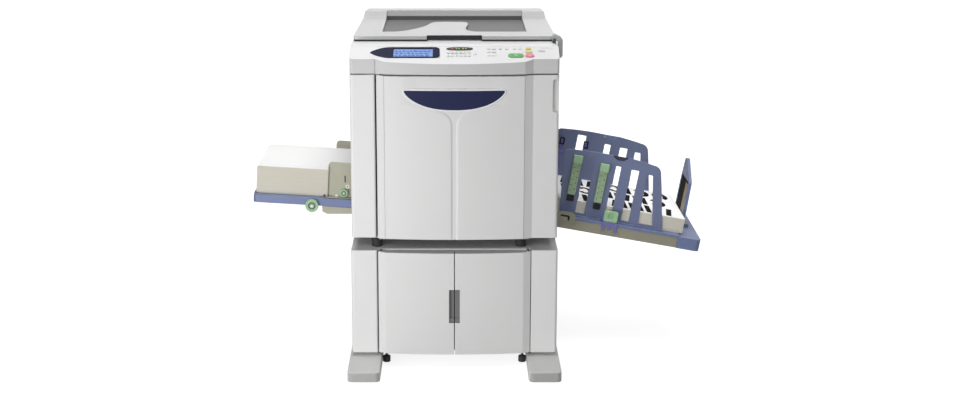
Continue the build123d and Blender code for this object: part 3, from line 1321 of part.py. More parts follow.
def tray_rails():
    """The beige side rails of the tray, stepped half way along."""
    rails = []
    for y, out in ((EXIT_FRONT, -1), (EXIT_REAR - RAIL_SHEET, 1)):
        rail = block(9, EXIT_TRAY_LENGTH - 2.3, y, y + RAIL_SHEET, -EXIT_RAIL_DEPTH - 8,
                     -EXIT_TRAY_THICKNESS)
        step_low, step_high = sorted((y + RAIL_SHEET / 2, y + RAIL_SHEET / 2 + out * 3.5))
        rail += block(9, EXIT_TRAY_LENGTH / 2 + 10, step_low, step_high, -EXIT_RAIL_DEPTH - 4, -EXIT_TRAY_THICKNESS - 1)
        rails.append(exit_place() * rail)
    return Compound(rails)


def receiving_hooks():
    """The beige hook brackets that hang the tray on the right cover."""
    hooks = []
    for y, out in ((EXIT_FRONT, -1), (EXIT_REAR, 1)):
        low, high = sorted((y + out * 3.0, y + out * 6.0))
        outline = [(8, -34), (8, 10), (22, 16), (56, 16), (68, 4), (68, -22), (54, -34)]
        points = [(u, low, w) for u, w in outline]
        hook = extrude(make_face(Polyline(*points, close=True)), amount=3, dir=(0, 1, 0))
        hook += block(20, 40, *sorted((y + out * 0.2, y + out * 4)), -30, -12)
        hook = exit_place() * hook
        wall_low, wall_high = sorted((y + out * 3.0, y + out * 14.0))
        hook += block(HALF + 0.3, HALF + 14, wall_low, wall_high, EXIT_TOP - 36, EXIT_TOP - 2)
        hooks.append(hook)
    return Compound(hooks)


def wing_outline():
    """The side fence: leaning ends, an arched top with a thumb notch, a rounded far corner."""
    near = Polyline((WING_NEAR, 0), (-2, 170), (-4, 194))
    near_corner = RadiusArc((-4, 194), (10, 207), 14)
    top_near = Spline((10, 207), (85, WING_HEIGHT), (NOTCH_CENTRE - NOTCH_RADIUS - 4, WING_HEIGHT))
    left = NOTCH_CENTRE - NOTCH_RADIUS - 4
    right = NOTCH_CENTRE + NOTCH_RADIUS + 4
    notch = Spline((left, WING_HEIGHT), (NOTCH_CENTRE - 12, WING_HEIGHT - 12),
                   (NOTCH_CENTRE, WING_HEIGHT - 14), (NOTCH_CENTRE + 12, WING_HEIGHT - 12),
                   (right, WING_HEIGHT))
    top_far = ThreePointArc((right, WING_HEIGHT), (241, 208), (282, 202))
    far_corner = ThreePointArc((282, 202), (300, 195), (308, 180))
    far = Polyline((308, 180), (318, 140), (WING_FAR, 0), (WING_NEAR, 0))
    edges = []
    for line in (near, near_corner, top_near, notch, top_far, far_corner, far):
        edges.extend(line.edges())
    return Face(Wire(edges))


def wing_windows():
    """The four upright windows of a fence, the last one a wedge."""
    bars = ((66, 66, 95, 95, 196), (160, 160, 181, 181, 180), (213, 213, 239, 238, 177),
            (269, 265, 284, 315, 170))
    windows = []
    for low_left, high_left, high_right, low_right, height in bars:
        outline = Polyline((low_left, 10), (high_left, height), (high_right, height),
                           (low_right, 10), close=True)
        windows.append(fillet(make_face(outline).vertices(), 3.0))
    return windows


def wing(front):
    """One fence of the receiving tray, with a foot along the tray."""
    face = wing_outline()
    for window in wing_windows():
        face -= window
    y = WING_FRONT_Y if front else WING_REAR_Y
    plate = extrude(face, amount=WING_SHEET, dir=(0, 0, 1))
    plate = Pos(0, y + WING_SHEET, 0) * Rot(90, 0, 0) * plate
    out = -1 if front else 1
    edge = y if front else y + WING_SHEET
    low, high = sorted((edge - out * 0.5, edge + out * 11))
    foot = block(WING_NEAR, WING_FAR, low, high, 0.3, 3.3)
    return exit_place() * (Pos(0, 0, 0.3) * plate + foot)


def wing_front():
    """The front fence."""
    return wing(True)


def wing_rear():
    """The rear fence."""
    return wing(False)


def arranger(place, top):
    """A paper arranger: a ribbed bar on the fence with a knob at its top and a clip below."""
    bar = block(place - ARRANGER_WIDTH / 2, place + ARRANGER_WIDTH / 2, WING_FRONT_Y - 9.3,
                WING_FRONT_Y - 0.3, top - ARRANGER_LENGTH, top)
    bar = fillet([edge for edge in bar.edges().filter_by(Axis.Z)
                  if edge.center().Y < WING_FRONT_Y - 5], 3.0)
    bar += block(place - ARRANGER_WIDTH / 2 - 1, place + ARRANGER_WIDTH / 2 + 1,
                 WING_FRONT_Y - 15, WING_FRONT_Y - 0.3, top - 22, top + 2)
    for step in range(6):
        w = top - 40 - 14 * step
        bar -= block(place - 8, place + 8, WING_FRONT_Y - 10, WING_FRONT_Y - 8, w, w + 4)
    return exit_place() * bar


def arrangers_front():
    """The two paper arrangers on the front fence."""
    return Compound([arranger(place, top) for place, top in zip(ARRANGER_PLACES, ARRANGER_TOPS)])


def arranger_clips():
    """The black slides behind the arrangers, clipped to the fence below them."""
    clips = []
    for place, top in zip(ARRANGER_PLACES, ARRANGER_TOPS):
        low = top - ARRANGER_LENGTH - 22
        clips.append(exit_block(place - 11, place + 11, WING_FRONT_Y - 8, WING_FRONT_Y - 0.3,
                                low, low + 17))
    return Compound(clips)


LOCK_PIVOT_Y = WING_FRONT_Y - 15.0
LOCK_PIVOT_W = 8.0
LOCK_HALF = 21.5


def lock_pin(radius, half):
    """A bar along the tray through the pivot of the lock lever."""
    return Pos(LOCK_PLACE, LOCK_PIVOT_Y, LOCK_PIVOT_W) * Rot(0, 90, 0) * Cylinder(radius, 2 * half)


def fence_lock():
    """The green lock lever at the foot of the front fence, with a finger window."""
    body = block(LOCK_PLACE - LOCK_HALF, LOCK_PLACE + LOCK_HALF, LOCK_PIVOT_Y - 8,
                 LOCK_PIVOT_Y + 3, LOCK_PIVOT_W - 4, 38)
    body = round_along_y(body, 4.0)
    body -= block(LOCK_PLACE - 9, LOCK_PLACE + 9, LOCK_PIVOT_Y - 9, LOCK_PIVOT_Y - 3, 16, 31)
    return exit_place() * (body - lock_pin(2.5 + PIN_CLEARANCE, 40))


def lock_block():
    """The purple block on the fence with two ears and the pin of the lock lever."""
    base = block(LOCK_PLACE - LOCK_HALF - 4, LOCK_PLACE + LOCK_HALF + 4, WING_FRONT_Y - 9,
                 WING_FRONT_Y, 3.6, 16)
    for side in (-1, 1):
        near = LOCK_PLACE + side * (LOCK_HALF + 0.5)
        base += block(*sorted((near, near + side * 3.5)), LOCK_PIVOT_Y - 4, WING_FRONT_Y - 8, 3.6, 13)
    return exit_place() * (base + lock_pin(2.5, LOCK_HALF + 3))


def end_stop():
    """The end plate: a tall paddle with a raised inner pad, on a foot along the tray."""
    outline = [(STOP_FRONT, 4), (STOP_FRONT - 6, 60), (STOP_FRONT + 4, 150), (STOP_REAR - 30, 205),
               (STOP_REAR - 6, 200), (STOP_REAR + 4, 120), (STOP_REAR, 4)]
    plate = side_plate(outline, STOP_PLACE, STOP_PLACE + 10)
    plate = fillet(plate.edges().filter_by(Axis.X), 12.0)
    plate -= block(STOP_PLACE - 1, STOP_PLACE + 4, STOP_FRONT + 12, STOP_REAR - 12, 28, 148)
    foot = block(STOP_PLACE - 1, STOP_PLACE + 34, STOP_FRONT + 30, STOP_REAR - 30, -2.7, 6)
    return exit_place() * (plate + foot)


def stop_pad():
    """The black foam pad on the inner face of the end plate."""
    return exit_block(STOP_PLACE + 0.5, STOP_PLACE + 4, STOP_FRONT + 12.3, STOP_REAR - 12.3, 28.3, 147.7)


def printed_stack():
    """The printed sheets on the receiving tray."""
    return exit_block(0, PRINT_LENGTH, PAPER_FRONT, PAPER_FRONT + PAPER_WIDTH, 0.3, PRINT_STACK)


def guide_rails():
    """The fixed guides inside: drum rails, lift posts of the feed tray, box shelf."""
    return Compound([*drum_rails().solids(), *lift_posts().solids(), disposal_box_runner()])


def door_left():
    """The left door with the grey liner in its grip pocket."""
    return Compound([cabinet_door_left(), door_grip_left()])


def group(*shapes):
    """Separate solids that share one node."""
    return Compound([solid for shape in shapes for solid in shape.solids()])


NODES = {
    "cabinet_panels": group(cabinet_sides(), cabinet_columns(), cabinet_back(), cabinet_floor(),
                            cabinet_top()),
    "cabinet_door_left": door_left(),
    "cabinet_door_right": mirror(door_left(), Plane.YZ),
    "hinge_pins": group(door_hinges(), cover_hinges()),
    "stabiliser_feet": stabiliser_feet(),
    "levelling_adjusters": levelling_adjusters(),
    "rubber_feet": rubber_feet(),
    "frame_plates": group(base_pan(), frame_front(), frame_rear(), table_rails()),
    "front_column": front_column(),
    "side_cover_left": side_cover_left(),
    "side_cover_right": side_cover_right(),
    "rear_cover": rear_cover(),
    "power_inlet": power_inlet(),
    "power_switch": power_switch(),
    "power_supply": power_supply(),
    "guide_rails": guide_rails(),
    "drum_carriage": drum_carriage(),
    "print_drum": print_drum(),
    "ink_cartridge": ink_cartridge(),
    "pressure_roller": pressure_roller(),
    "pickup_roller": pickup_roller(),
    "timing_roller": timing_roller(),
    "master_roll": master_roll(),
    "master_unit": master_unit(),
    "main_motor": main_motor(),
    "suction_unit": suction_unit(),
    "master_disposal_box": master_disposal_box(),
    "front_cover": front_cover(),
    "emblem_plate": emblem_plate(),
    "scanner_housing": scanner_housing(),
    "scanner_glass": scanner_glass(),
    "scan_rails": scan_rails(),
    "scan_carriage": scan_carriage(),
    "control_panel": control_panel(),
    "display_bezel": display_bezel(),
    "display": display(),
    "number_keys": keys(NUMBER_KEYS),
    "function_keys": keys(FUNCTION_KEYS),
    "start_key": keys(START_KEY),
    "stop_key": keys(STOP_KEY),
    "reset_keys": keys(RESET_KEYS),
    "release_lever": release_lever(),
    "lid": lid(),
    "lid_pad": lid_pad(),
    "table_hinges": group(lid_hinges(), lever_pivot()),
    "feed_tray": feed_tray(),
    "feed_arms": group(feed_arms(), dial_spindle()),
    "feed_guide_front": feed_guide_front(),
    "feed_guide_rear": feed_guide_rear(),
    "guide_lock_knob": guide_lock_knob(),
    "position_dial": position_dial(),
    "feed_paper_stack": feed_paper_stack(),
    "receiving_tray": receiving_tray(),
    "tray_rails": group(tray_rails(), receiving_hooks()),
    "wing_front": group(wing_front(), lock_block()),
    "wing_rear": wing_rear(),
    "arrangers_front": group(arrangers_front(), arranger_clips()),
    "fence_lock": fence_lock(),
    "end_stop": group(end_stop(), stop_pad()),
    "printed_stack": printed_stack(),
}

# The origin lies on the floor under the middle of the whole
whole = Compound(list(NODES.values())).bounding_box()
SHIFT = Location((-whole.center().X, -whole.center().Y, 0))

os.makedirs("parts", exist_ok=True)
for name, shape in NODES.items():
    export_step(SHIFT * shape, f"parts/{name}.step")

# Joint places and axes, printed in metres for whoever writes down the joints
PANEL_NORMAL = (0, -math.sin(math.radians(PANEL_ANGLE)), math.cos(math.radians(PANEL_ANGLE)))
EXIT_RADIANS = math.radians(EXIT_TILT)
ALONG_EXIT = (math.cos(EXIT_RADIANS), 0, -math.sin(EXIT_RADIANS))
PLACES = {
    "door_left": (-HINGE_X, HINGE_Y, 200),
    "door_right": (HINGE_X, HINGE_Y, 200),
    "front_cover": (-HINGE_X, HINGE_Y, 660),
    "drum": (DRUM_X, DRUM_FRONT, DRUM_Z),
    "pressure_roller": (DRUM_X, DRUM_FRONT, PRESS_Z),
    "pickup_roller": (PICKUP_X, DRUM_FRONT, PICKUP_Z),
    "timing_roller": (TIMING_X, DRUM_FRONT, TIMING_Z),
    "master_roll": (MASTER_X, DRUM_FRONT, MASTER_Z),
    "lid": (0, LID_PIN_Y, LID_PIN_Z),
    "release_lever": (LEVER_PIVOT_X, LEVER_Y, LEVER_PIVOT_Z),
    "power_switch": (HALF - SHEET, SWITCH_Y, SWITCH_Z),
    "guide_lock_knob": (KNOB_X, PAPER_FRONT - 10, KNOB_Z),
    "position_dial": (DIAL_X, TRAY_FRONT - 6, DIAL_Z),
    "body_corner": (-HALF, 0, BODY_BOTTOM),
    "foot_left": (-FOOT_CENTRE, (FOOT_BACK - FOOT_REACH) / 2, 0),
    "foot_right": (FOOT_CENTRE, (FOOT_BACK - FOOT_REACH) / 2, 0),
    "inlet": (INLET_X, BODY_DEPTH + SHEET, INLET_Z),
}
for name, place in PLACES.items():
    moved = SHIFT.position + Vector(*place)
    print("place", name, *(round(value / 1000, 5) for value in moved))
lock_place = (SHIFT * exit_place() * Pos(LOCK_PLACE, LOCK_PIVOT_Y, LOCK_PIVOT_W)).position
print("place fence_lock", *(round(value / 1000, 5) for value in lock_place))
print("axis panel_normal", *(round(value, 6) for value in PANEL_NORMAL))
print("axis along_exit", *(round(value, 6) for value in ALONG_EXIT))
print("nodes", len(NODES), "size", whole.size)
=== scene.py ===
# %% [markdown]
# # A digital duplicator on its cabinet
# The machine copies a page onto a master film, wraps the film round an ink drum and prints
# sheet after sheet. Its solids come from CAD as a fixed frame, and every piece made here lies
# on them in metres. Loading them comes first, because all places below are read from them.

# %% Load the machine
import json
import math
import random

import bmesh
import bpy
from mathutils import Matrix, Vector


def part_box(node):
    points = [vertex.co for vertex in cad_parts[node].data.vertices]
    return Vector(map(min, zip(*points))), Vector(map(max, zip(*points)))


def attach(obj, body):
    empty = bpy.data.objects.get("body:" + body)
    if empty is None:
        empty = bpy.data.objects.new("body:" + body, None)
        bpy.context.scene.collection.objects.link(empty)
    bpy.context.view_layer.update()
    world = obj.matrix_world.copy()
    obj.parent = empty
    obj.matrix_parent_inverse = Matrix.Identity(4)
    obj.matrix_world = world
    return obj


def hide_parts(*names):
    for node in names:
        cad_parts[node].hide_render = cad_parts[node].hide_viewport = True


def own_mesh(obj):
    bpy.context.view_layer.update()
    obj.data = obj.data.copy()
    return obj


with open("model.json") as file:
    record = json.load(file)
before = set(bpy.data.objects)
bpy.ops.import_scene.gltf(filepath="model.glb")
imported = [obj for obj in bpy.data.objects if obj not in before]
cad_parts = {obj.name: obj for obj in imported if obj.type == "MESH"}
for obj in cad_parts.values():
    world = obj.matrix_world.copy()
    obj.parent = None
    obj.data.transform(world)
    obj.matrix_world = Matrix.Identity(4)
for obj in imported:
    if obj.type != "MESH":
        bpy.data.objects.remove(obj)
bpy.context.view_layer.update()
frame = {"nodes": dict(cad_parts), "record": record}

nodes = frame["nodes"]
body_of = {member: body for body, members in frame["record"]["behaviour"]["bodies"].items()
           for member in members}
slot_of = {part["node"]: part["material_slot"] for part in frame["record"]["subparts"]}
scene = bpy.context.scene
scene.view_settings.view_transform = "Standard"

# %% [markdown]
# The drawing of the machine counts from the middle of the body, from the flat face of its front
# columns and from the floor, in millimetres. A helper turns such a place into metres in the
# frame, and a matrix for each tray does the same along its slope. Tilts are in degrees.

# %% Places on the machine
left_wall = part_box("side_cover_left")[0].x
right_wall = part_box("side_cover_right")[1].x
front_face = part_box("front_column")[0].y
middle = (left_wall + right_wall) / 2
MM = 0.001
BODY_HALF, BODY_DEPTH = 313.5, 644
FEED_TILT, FEED_TOP = 3.4, 493.2
EXIT_TILT, EXIT_TOP = 10.2, 449.7


def place(x, y, z):
    """A place on the machine, from millimetres of the drawing."""
    return Vector((middle + x * MM, front_face + y * MM, z * MM))


def tray_frame(side, top, tilt):
    """The frame of a tray: u along it, y to the back and w square to it, in millimetres."""
    corner = Matrix.Translation(place(side * BODY_HALF, 0, top))
    return corner @ Matrix.Rotation(math.radians(tilt), 4, "Y") @ Matrix.Scale(MM, 4)


feed_frame = tray_frame(-1, FEED_TOP, FEED_TILT)
exit_frame = tray_frame(1, EXIT_TOP, EXIT_TILT)
machine_frame = Matrix.Translation(place(0, 0, 0)) @ Matrix.Scale(MM, 4)
print("middle of the body", round(middle, 4), "front face", round(front_face, 4))

# %% [markdown]
# The photograph is taken from the front, from a little above the lid, with a long lens. The
# machine stands left of the picture's middle, so the lens is shifted sideways by that much, and
# a little downwards, which keeps the upright edges nearly parallel.

# %% Camera
PICTURE_WIDTH, FOCAL_PIXELS = 960, 1494.4
SIDE_SHIFT_PIXELS, DOWN_SHIFT_PIXELS = 25.6, 48.0
CAMERA_PLACE, CAMERA_DIP = (0, -4400, 1651.7), 0.21762


def new_object(name, data):
    """An object for a mesh, a lamp or a camera, linked into the scene."""
    thing = bpy.data.objects.new(name, data)
    scene.collection.objects.link(thing)
    return thing


camera_data = bpy.data.cameras.new("picture_camera")
camera_data.sensor_width = 36.0
camera_data.lens = FOCAL_PIXELS * camera_data.sensor_width / PICTURE_WIDTH
camera_data.shift_x = SIDE_SHIFT_PIXELS / PICTURE_WIDTH
camera_data.shift_y = -DOWN_SHIFT_PIXELS / PICTURE_WIDTH
scene.camera = new_object("picture_camera", camera_data)
scene.camera.location = place(*CAMERA_PLACE)
scene.camera.rotation_euler = (math.pi / 2 - CAMERA_DIP, 0, 0)
print("lens", round(camera_data.lens, 1), "mm, shift", round(camera_data.shift_x, 4))

# %% [markdown]
# Every material and Geometry Nodes tree below is built from the same move: add a node, choose
# its settings, and give each input a plain value or the output of another node. So that move is
# one function. A mesh is drawn by functions too, which get it as a BMesh, Blender's workbench
# for corners and faces.

# %% Nodes and meshes
def connect(tree, value, socket):
    """Gives a socket a plain value, or the output of another node."""
    if isinstance(value, bpy.types.Node):
        value = value.outputs[0]
    if isinstance(value, bpy.types.NodeSocket):
        tree.links.new(value, socket)
    else:
        socket.default_value = value


def add_node(tree, kind, inputs=None, **settings):
    """A node with its settings and inputs; a node as an input stands for its first output."""
    node = tree.nodes.new(kind)
    for setting, value in settings.items():
        setattr(node, setting, value)
    for label, value in (inputs or {}).items():
        connect(tree, value, node.inputs[label])
    return node


def worked(data, *steps):
    """Lets functions draw in a mesh or change it, one after another."""
    mesh = bmesh.new()
    mesh.from_mesh(data)
    for step in steps:
        step(mesh)
    mesh.to_mesh(data)
    mesh.free()
    return data


def join_rows(mesh, low, high, closed=True):
    """Faces between two rows of corners."""
    for index in range(len(low) if closed else len(low) - 1):
        after = (index + 1) % len(low)
        mesh.faces.new((low[index], low[after], high[after], high[index]))


print("nodes and meshes can be built")

# %% [markdown]
# A studio floor runs up into a wall behind the machine in one sweep. It is lit as the machine
# is, and a part of its brightness is its own for the camera and for mirrors, so it looks white
# and still takes the shadow of the feet. That part grows from the machine towards the wall.

# %% Studio floor
FLOOR_GREY, MIRRORED_GLOW = (0.40, 0.40, 0.40, 1), 0.3


def new_material(name):
    """An empty material, its node tree and its output node."""
    material = bpy.data.materials.new(name)
    material.use_nodes = True
    tree = material.node_tree
    tree.nodes.clear()
    return material, tree, tree.nodes.new("ShaderNodeOutputMaterial")


def object_place(tree):
    """The place on the object, in its own coordinates."""
    return tree.nodes.new("ShaderNodeTexCoord").outputs["Object"]


def math_node(tree, operation, *values):
    """The result of a maths node whose inputs are sockets or plain numbers."""
    return add_node(tree, "ShaderNodeMath", dict(enumerate(values)), operation=operation).outputs[0]


def map_range(tree, value, low, high, to_low=0.0, to_high=1.0, curve="LINEAR"):
    """Stretches the values between two limits to two others."""
    return add_node(tree, "ShaderNodeMapRange", {
        "Value": value, "From Min": low, "From Max": high, "To Min": to_low, "To Max": to_high},
        interpolation_type=curve).outputs[0]


def studio_material():
    """Matt paper whose brightness is partly its own in the picture."""
    material, tree, output = new_material("studio_paper")
    path = add_node(tree, "ShaderNodeLightPath")
    seen = math_node(tree, "MULTIPLY_ADD", path.outputs["Is Glossy Ray"], MIRRORED_GLOW,
                     path.outputs["Is Camera Ray"])
    where = add_node(tree, "ShaderNodeSeparateXYZ", {0: object_place(tree)})
    behind = map_range(tree, where.outputs["Y"], -0.6, 3.0, 0.84, 1.0, "SMOOTHSTEP")
    glow = add_node(tree, "ShaderNodeEmission",
                    {"Strength": math_node(tree, "MULTIPLY", seen, behind)})
    diffuse = add_node(tree, "ShaderNodeBsdfDiffuse", {"Color": FLOOR_GREY})
    both = add_node(tree, "ShaderNodeAddShader", {0: diffuse, 1: glow})
    connect(tree, both, output.inputs["Surface"])
    return material


def studio_sweep(mesh):
    """A floor that curves up into a wall far behind the machine."""
    half_width, front, back, height, bend, steps = 14.0, -14.0, 9.0, 9.0, 3.0, 12
    profile = [(front, 0.0), (back - bend, 0.0)]
    for step in range(1, steps + 1):
        angle = math.radians(90 * step / steps)
        profile.append((back - bend + bend * math.sin(angle), bend - bend * math.cos(angle)))
    profile.append((back, height))
    rows = [[mesh.verts.new((x, y, z)) for x in (-half_width, half_width)] for y, z in profile]
    for low, high in zip(rows, rows[1:]):
        join_rows(mesh, low, high, closed=False)
    for face in mesh.faces:
        face.smooth = True


floor = new_object("studio_floor", worked(bpy.data.meshes.new("studio_floor"), studio_sweep))
floor.data.materials.append(studio_material())
print("floor faces", len(floor.data.polygons))

# %% [markdown]
# The left columns are bright and the right ones are darker, and the side of each groove that
# faces left catches the light. So the key soft box stands low in front at the left and a weaker
# one fills from the right. Two large ones hang high in front and above, and one behind lights
# the back. Two narrow ones look down on the piles of paper, which the body keeps part of the
# light from. The world adds a little from all round, and looks white to the camera.

# %% Lights
def soft_box(name, position, target, size, watts, beam=180):
    """A rectangular soft light that points at a target; the beam is in degrees."""
    data = bpy.data.lights.new(name, "AREA")
    data.shape = "RECTANGLE"
    data.size, data.size_y = size
    data.energy = watts
    data.spread = math.radians(beam)
    lamp = new_object(name, data)
    lamp.location = position
    aim = Vector(target) - Vector(position)
    lamp.rotation_euler = aim.to_track_quat("-Z", "Y").to_euler()


soft_box("key_light", (-1.35, -1.95, 0.46), (-0.1, -0.2, 0.42), (1.1, 0.8), 25)
soft_box("fill_light", (2.7, -2.4, 0.7), (0.3, 0.0, 0.45), (1.8, 1.2), 8.5)
soft_box("front_light", (-0.3, -3.9, 2.6), (0.0, 0.0, 0.7), (2.2, 1.2), 26)
soft_box("top_light", (-0.3, 0.1, 3.2), (-0.1, 0.0, 0.6), (2.4, 2.0), 46)
soft_box("rear_light", (0.6, 3.8, 2.6), (0.0, 0.0, 0.5), (3.0, 2.0), 26)
soft_box("feed_light", (-0.78, 0.05, 1.65), (-0.6, 0.05, 0.58), (0.45, 0.45), 0.2, 45)
soft_box("receiving_light", (0.75, -0.35, 1.6), (0.52, 0.1, 0.45), (0.45, 0.45), 0.65, 45)

WHITE, WORLD_LIGHT = (1, 1, 1, 1), 0.18
scene.world = bpy.data.worlds.new("studio_world")
scene.world.use_nodes = True
sky = scene.world.node_tree
sky.nodes.clear()
ambient = add_node(sky, "ShaderNodeBackground", {"Color": WHITE, "Strength": WORLD_LIGHT})
white_wall = add_node(sky, "ShaderNodeBackground", {"Color": WHITE, "Strength": 1.0})
ray = add_node(sky, "ShaderNodeLightPath")
choice = add_node(sky, "ShaderNodeMixShader",
                  {0: ray.outputs["Is Camera Ray"], 1: ambient, 2: white_wall})
add_node(sky, "ShaderNodeOutputWorld", {"Surface": choice})
print("lamps", len(bpy.data.lights))

# %% [markdown]
# The covers, trays and keys share a few effects: the fine grain of a mould, a slow change of
# tone from handling, a lighter worn line along edges, dust on what faces up and the brushing of
# metal. Each is a shader node group with its own inputs, so one change improves every finish.

# %% Shader groups
def node_group(name, kind, inputs, outputs):
    """An empty node tree with named sockets, and its two end nodes."""
    tree = bpy.data.node_groups.new(name, kind)
    for label, socket_type, value in inputs:
        socket = tree.interface.new_socket(label, in_out="INPUT",
                                           socket_type="NodeSocket" + socket_type)
        if value is not None:
            socket.default_value = value
    for label, socket_type in outputs:
        tree.interface.new_socket(label, in_out="OUTPUT", socket_type="NodeSocket" + socket_type)
    return tree, tree.nodes.new("NodeGroupInput"), tree.nodes.new("NodeGroupOutput")


def noise_node(tree, scale, detail, vector=None, roughness=0.5):
    """Noise on the object's own coordinates, or on a vector."""
    return add_node(tree, "ShaderNodeTexNoise", {
        "Vector": object_place(tree) if vector is None else vector, "Scale": scale,
        "Detail": detail, "Roughness": roughness}).outputs["Fac"]


def blend(tree, first, part, second, rest):
    """The sum of two values, each taken by its part."""
    return math_node(tree, "ADD", math_node(tree, "MULTIPLY", first, part),
                     math_node(tree, "MULTIPLY", second, rest))


def grain_group():
    """The fine texture that a mould or a powder coat leaves."""
    tree, start, end = node_group("moulded_grain", "ShaderNodeTree", [("Scale", "Float", 900.0)],
                                  [("Height", "Float")])
    fine = noise_node(tree, start.outputs["Scale"], 2.0)
    coarse = noise_node(tree, math_node(tree, "MULTIPLY", start.outputs["Scale"], 0.17), 1.0)
    connect(tree, blend(tree, fine, 0.7, coarse, 0.3), end.inputs["Height"])
    return tree


def tone_group():
    """A slow change of colour and gloss, as years of light and hands leave it."""
    tree, start, end = node_group(
        "handling_tone", "ShaderNodeTree",
        [("Color", "Color", (0.8, 0.8, 0.8, 1)), ("Spread", "Float", 0.04),
         ("Roughness", "Float", 0.5)],
        [("Color", "Color"), ("Roughness", "Float")])
    slow = noise_node(tree, 3.1, 3.0)
    smear = noise_node(tree, 23.0, 4.0, roughness=0.62)
    centred = math_node(tree, "SUBTRACT", blend(tree, slow, 0.6, smear, 0.4), 0.5)
    swing = math_node(tree, "MULTIPLY", centred, start.outputs["Spread"])
    tint = add_node(tree, "ShaderNodeHueSaturation", {
        "Color": start.outputs["Color"], "Value": math_node(tree, "ADD", swing, 1.0)})
    connect(tree, tint, end.inputs["Color"])
    gloss = math_node(tree, "MULTIPLY_ADD", centred, 0.35, start.outputs["Roughness"])
    connect(tree, gloss, end.inputs["Roughness"])
    return tree


def edge_group():
    """A mask along edges and a normal that rounds them slightly."""
    tree, start, end = node_group("soft_edge", "ShaderNodeTree", [("Breakup", "Float", 60.0)],
                                  [("Mask", "Float"), ("Normal", "Vector")])
    bevel = add_node(tree, "ShaderNodeBevel", {"Radius": 0.9 * MM}, samples=4)
    flat = add_node(tree, "ShaderNodeNewGeometry")
    dot = add_node(tree, "ShaderNodeVectorMath", {0: bevel, 1: flat.outputs["Normal"]},
                   operation="DOT_PRODUCT")
    bent = math_node(tree, "SUBTRACT", 1.0, dot.outputs["Value"])
    patchy = noise_node(tree, start.outputs["Breakup"], 3.0)
    connect(tree, math_node(tree, "MULTIPLY", map_range(tree, bent, 0.02, 0.22), patchy),
            end.inputs["Mask"])
    connect(tree, bevel, end.inputs["Normal"])
    return tree


def dust_group():
    """A mask of thin dust on faces that look up."""
    tree, start, end = node_group("settled_dust", "ShaderNodeTree", [("Amount", "Float", 0.2)],
                                  [("Mask", "Float")])
    shape = add_node(tree, "ShaderNodeNewGeometry")
    parts = add_node(tree, "ShaderNodeSeparateXYZ", {0: shape.outputs["Normal"]})
    facing = map_range(tree, parts.outputs["Z"], 0.5, 1.0)
    cloud = noise_node(tree, 14.0, 5.0, roughness=0.65)
    amount = math_node(tree, "MULTIPLY", facing, cloud)
    connect(tree, math_node(tree, "MULTIPLY", amount, start.outputs["Amount"]), end.inputs["Mask"])
    return tree


def brushed_group():
    """Fine parallel scratches along one direction."""
    tree, start, end = node_group("brushing", "ShaderNodeTree",
                                  [("Along", "Vector", (3.0, 400.0, 400.0))], [("Height", "Float")])
    stretch = add_node(tree, "ShaderNodeVectorMath",
                       {0: object_place(tree), 1: start.outputs["Along"]}, operation="MULTIPLY")
    connect(tree, noise_node(tree, 2.0, 3.0, stretch), end.inputs["Height"])
    return tree


GRAIN, TONE, EDGE = grain_group(), tone_group(), edge_group()
DUST, BRUSH = dust_group(), brushed_group()
print("shader groups", len([g for g in bpy.data.node_groups if g.type == "SHADER"]))

# %% [markdown]
# One function builds every opaque finish from these groups: its colour drifts a little, its
# edges lighten or darken, dust lies on top, and a bump gives the grain. What is the same all
# over a surface is set on the shader itself.

# %% One function for every finish
DUST_GREY = (0.62, 0.61, 0.59, 1)
finishes = {}


def group_node(tree, group, **values):
    """Places a group in a material with its own values."""
    return add_node(tree, "ShaderNodeGroup", values, node_tree=group)


def mix_color(tree, factor, first, second):
    """Mixes two colours by a mask."""
    node = add_node(tree, "ShaderNodeMix", {"Factor": factor}, data_type="RGBA")
    for label, value in (("A", first), ("B", second)):
        connect(tree, value, [s for s in node.inputs if s.name == label and s.type == "RGBA"][0])
    return [s for s in node.outputs if s.type == "RGBA"][0]


def principled(name, material, output, inputs):
    """Ends a finish in the Principled shader and files it under its name."""
    tree = material.node_tree
    shader = add_node(tree, "ShaderNodeBsdfPrincipled", inputs)
    connect(tree, shader, output.inputs["Surface"])
    finishes[name] = material


def finish(name, color, roughness, metallic=0.0, coat=0.0, spread=0.05, grain=900.0, depth=0.02,
           edge=(0.95, 0.95, 0.94), wear=0.25, dust=0.1, brushing=None, shine=0.5):
    """A solid finish: colour, gloss, grain, edges and dust. The grain's depth is in mm."""
    material, tree, output = new_material(name)
    tone = group_node(tree, TONE, Color=(*color, 1), Spread=spread, Roughness=roughness)
    edges = group_node(tree, EDGE)
    rubbed = math_node(tree, "MULTIPLY", edges.outputs["Mask"], wear)
    worn = mix_color(tree, rubbed, tone.outputs["Color"], (*edge, 1))
    dusty = mix_color(tree, group_node(tree, DUST, Amount=dust).outputs["Mask"], worn, DUST_GREY)
    if brushing is None:
        texture = group_node(tree, GRAIN, Scale=grain)
    else:
        texture = group_node(tree, BRUSH, Along=brushing)
    bump = add_node(tree, "ShaderNodeBump", {"Strength": 0.5, "Distance": depth * MM,
                                             "Height": texture, "Normal": edges.outputs["Normal"]})
    principled(name, material, output, {
        "Base Color": dusty, "Metallic": metallic, "Roughness": tone.outputs["Roughness"],
        "Specular IOR Level": shine, "Coat Weight": coat, "Coat Roughness": 0.08, "Normal": bump})


print("effects that a finish can use", [g.name for g in (GRAIN, TONE, EDGE, DUST, BRUSH)])
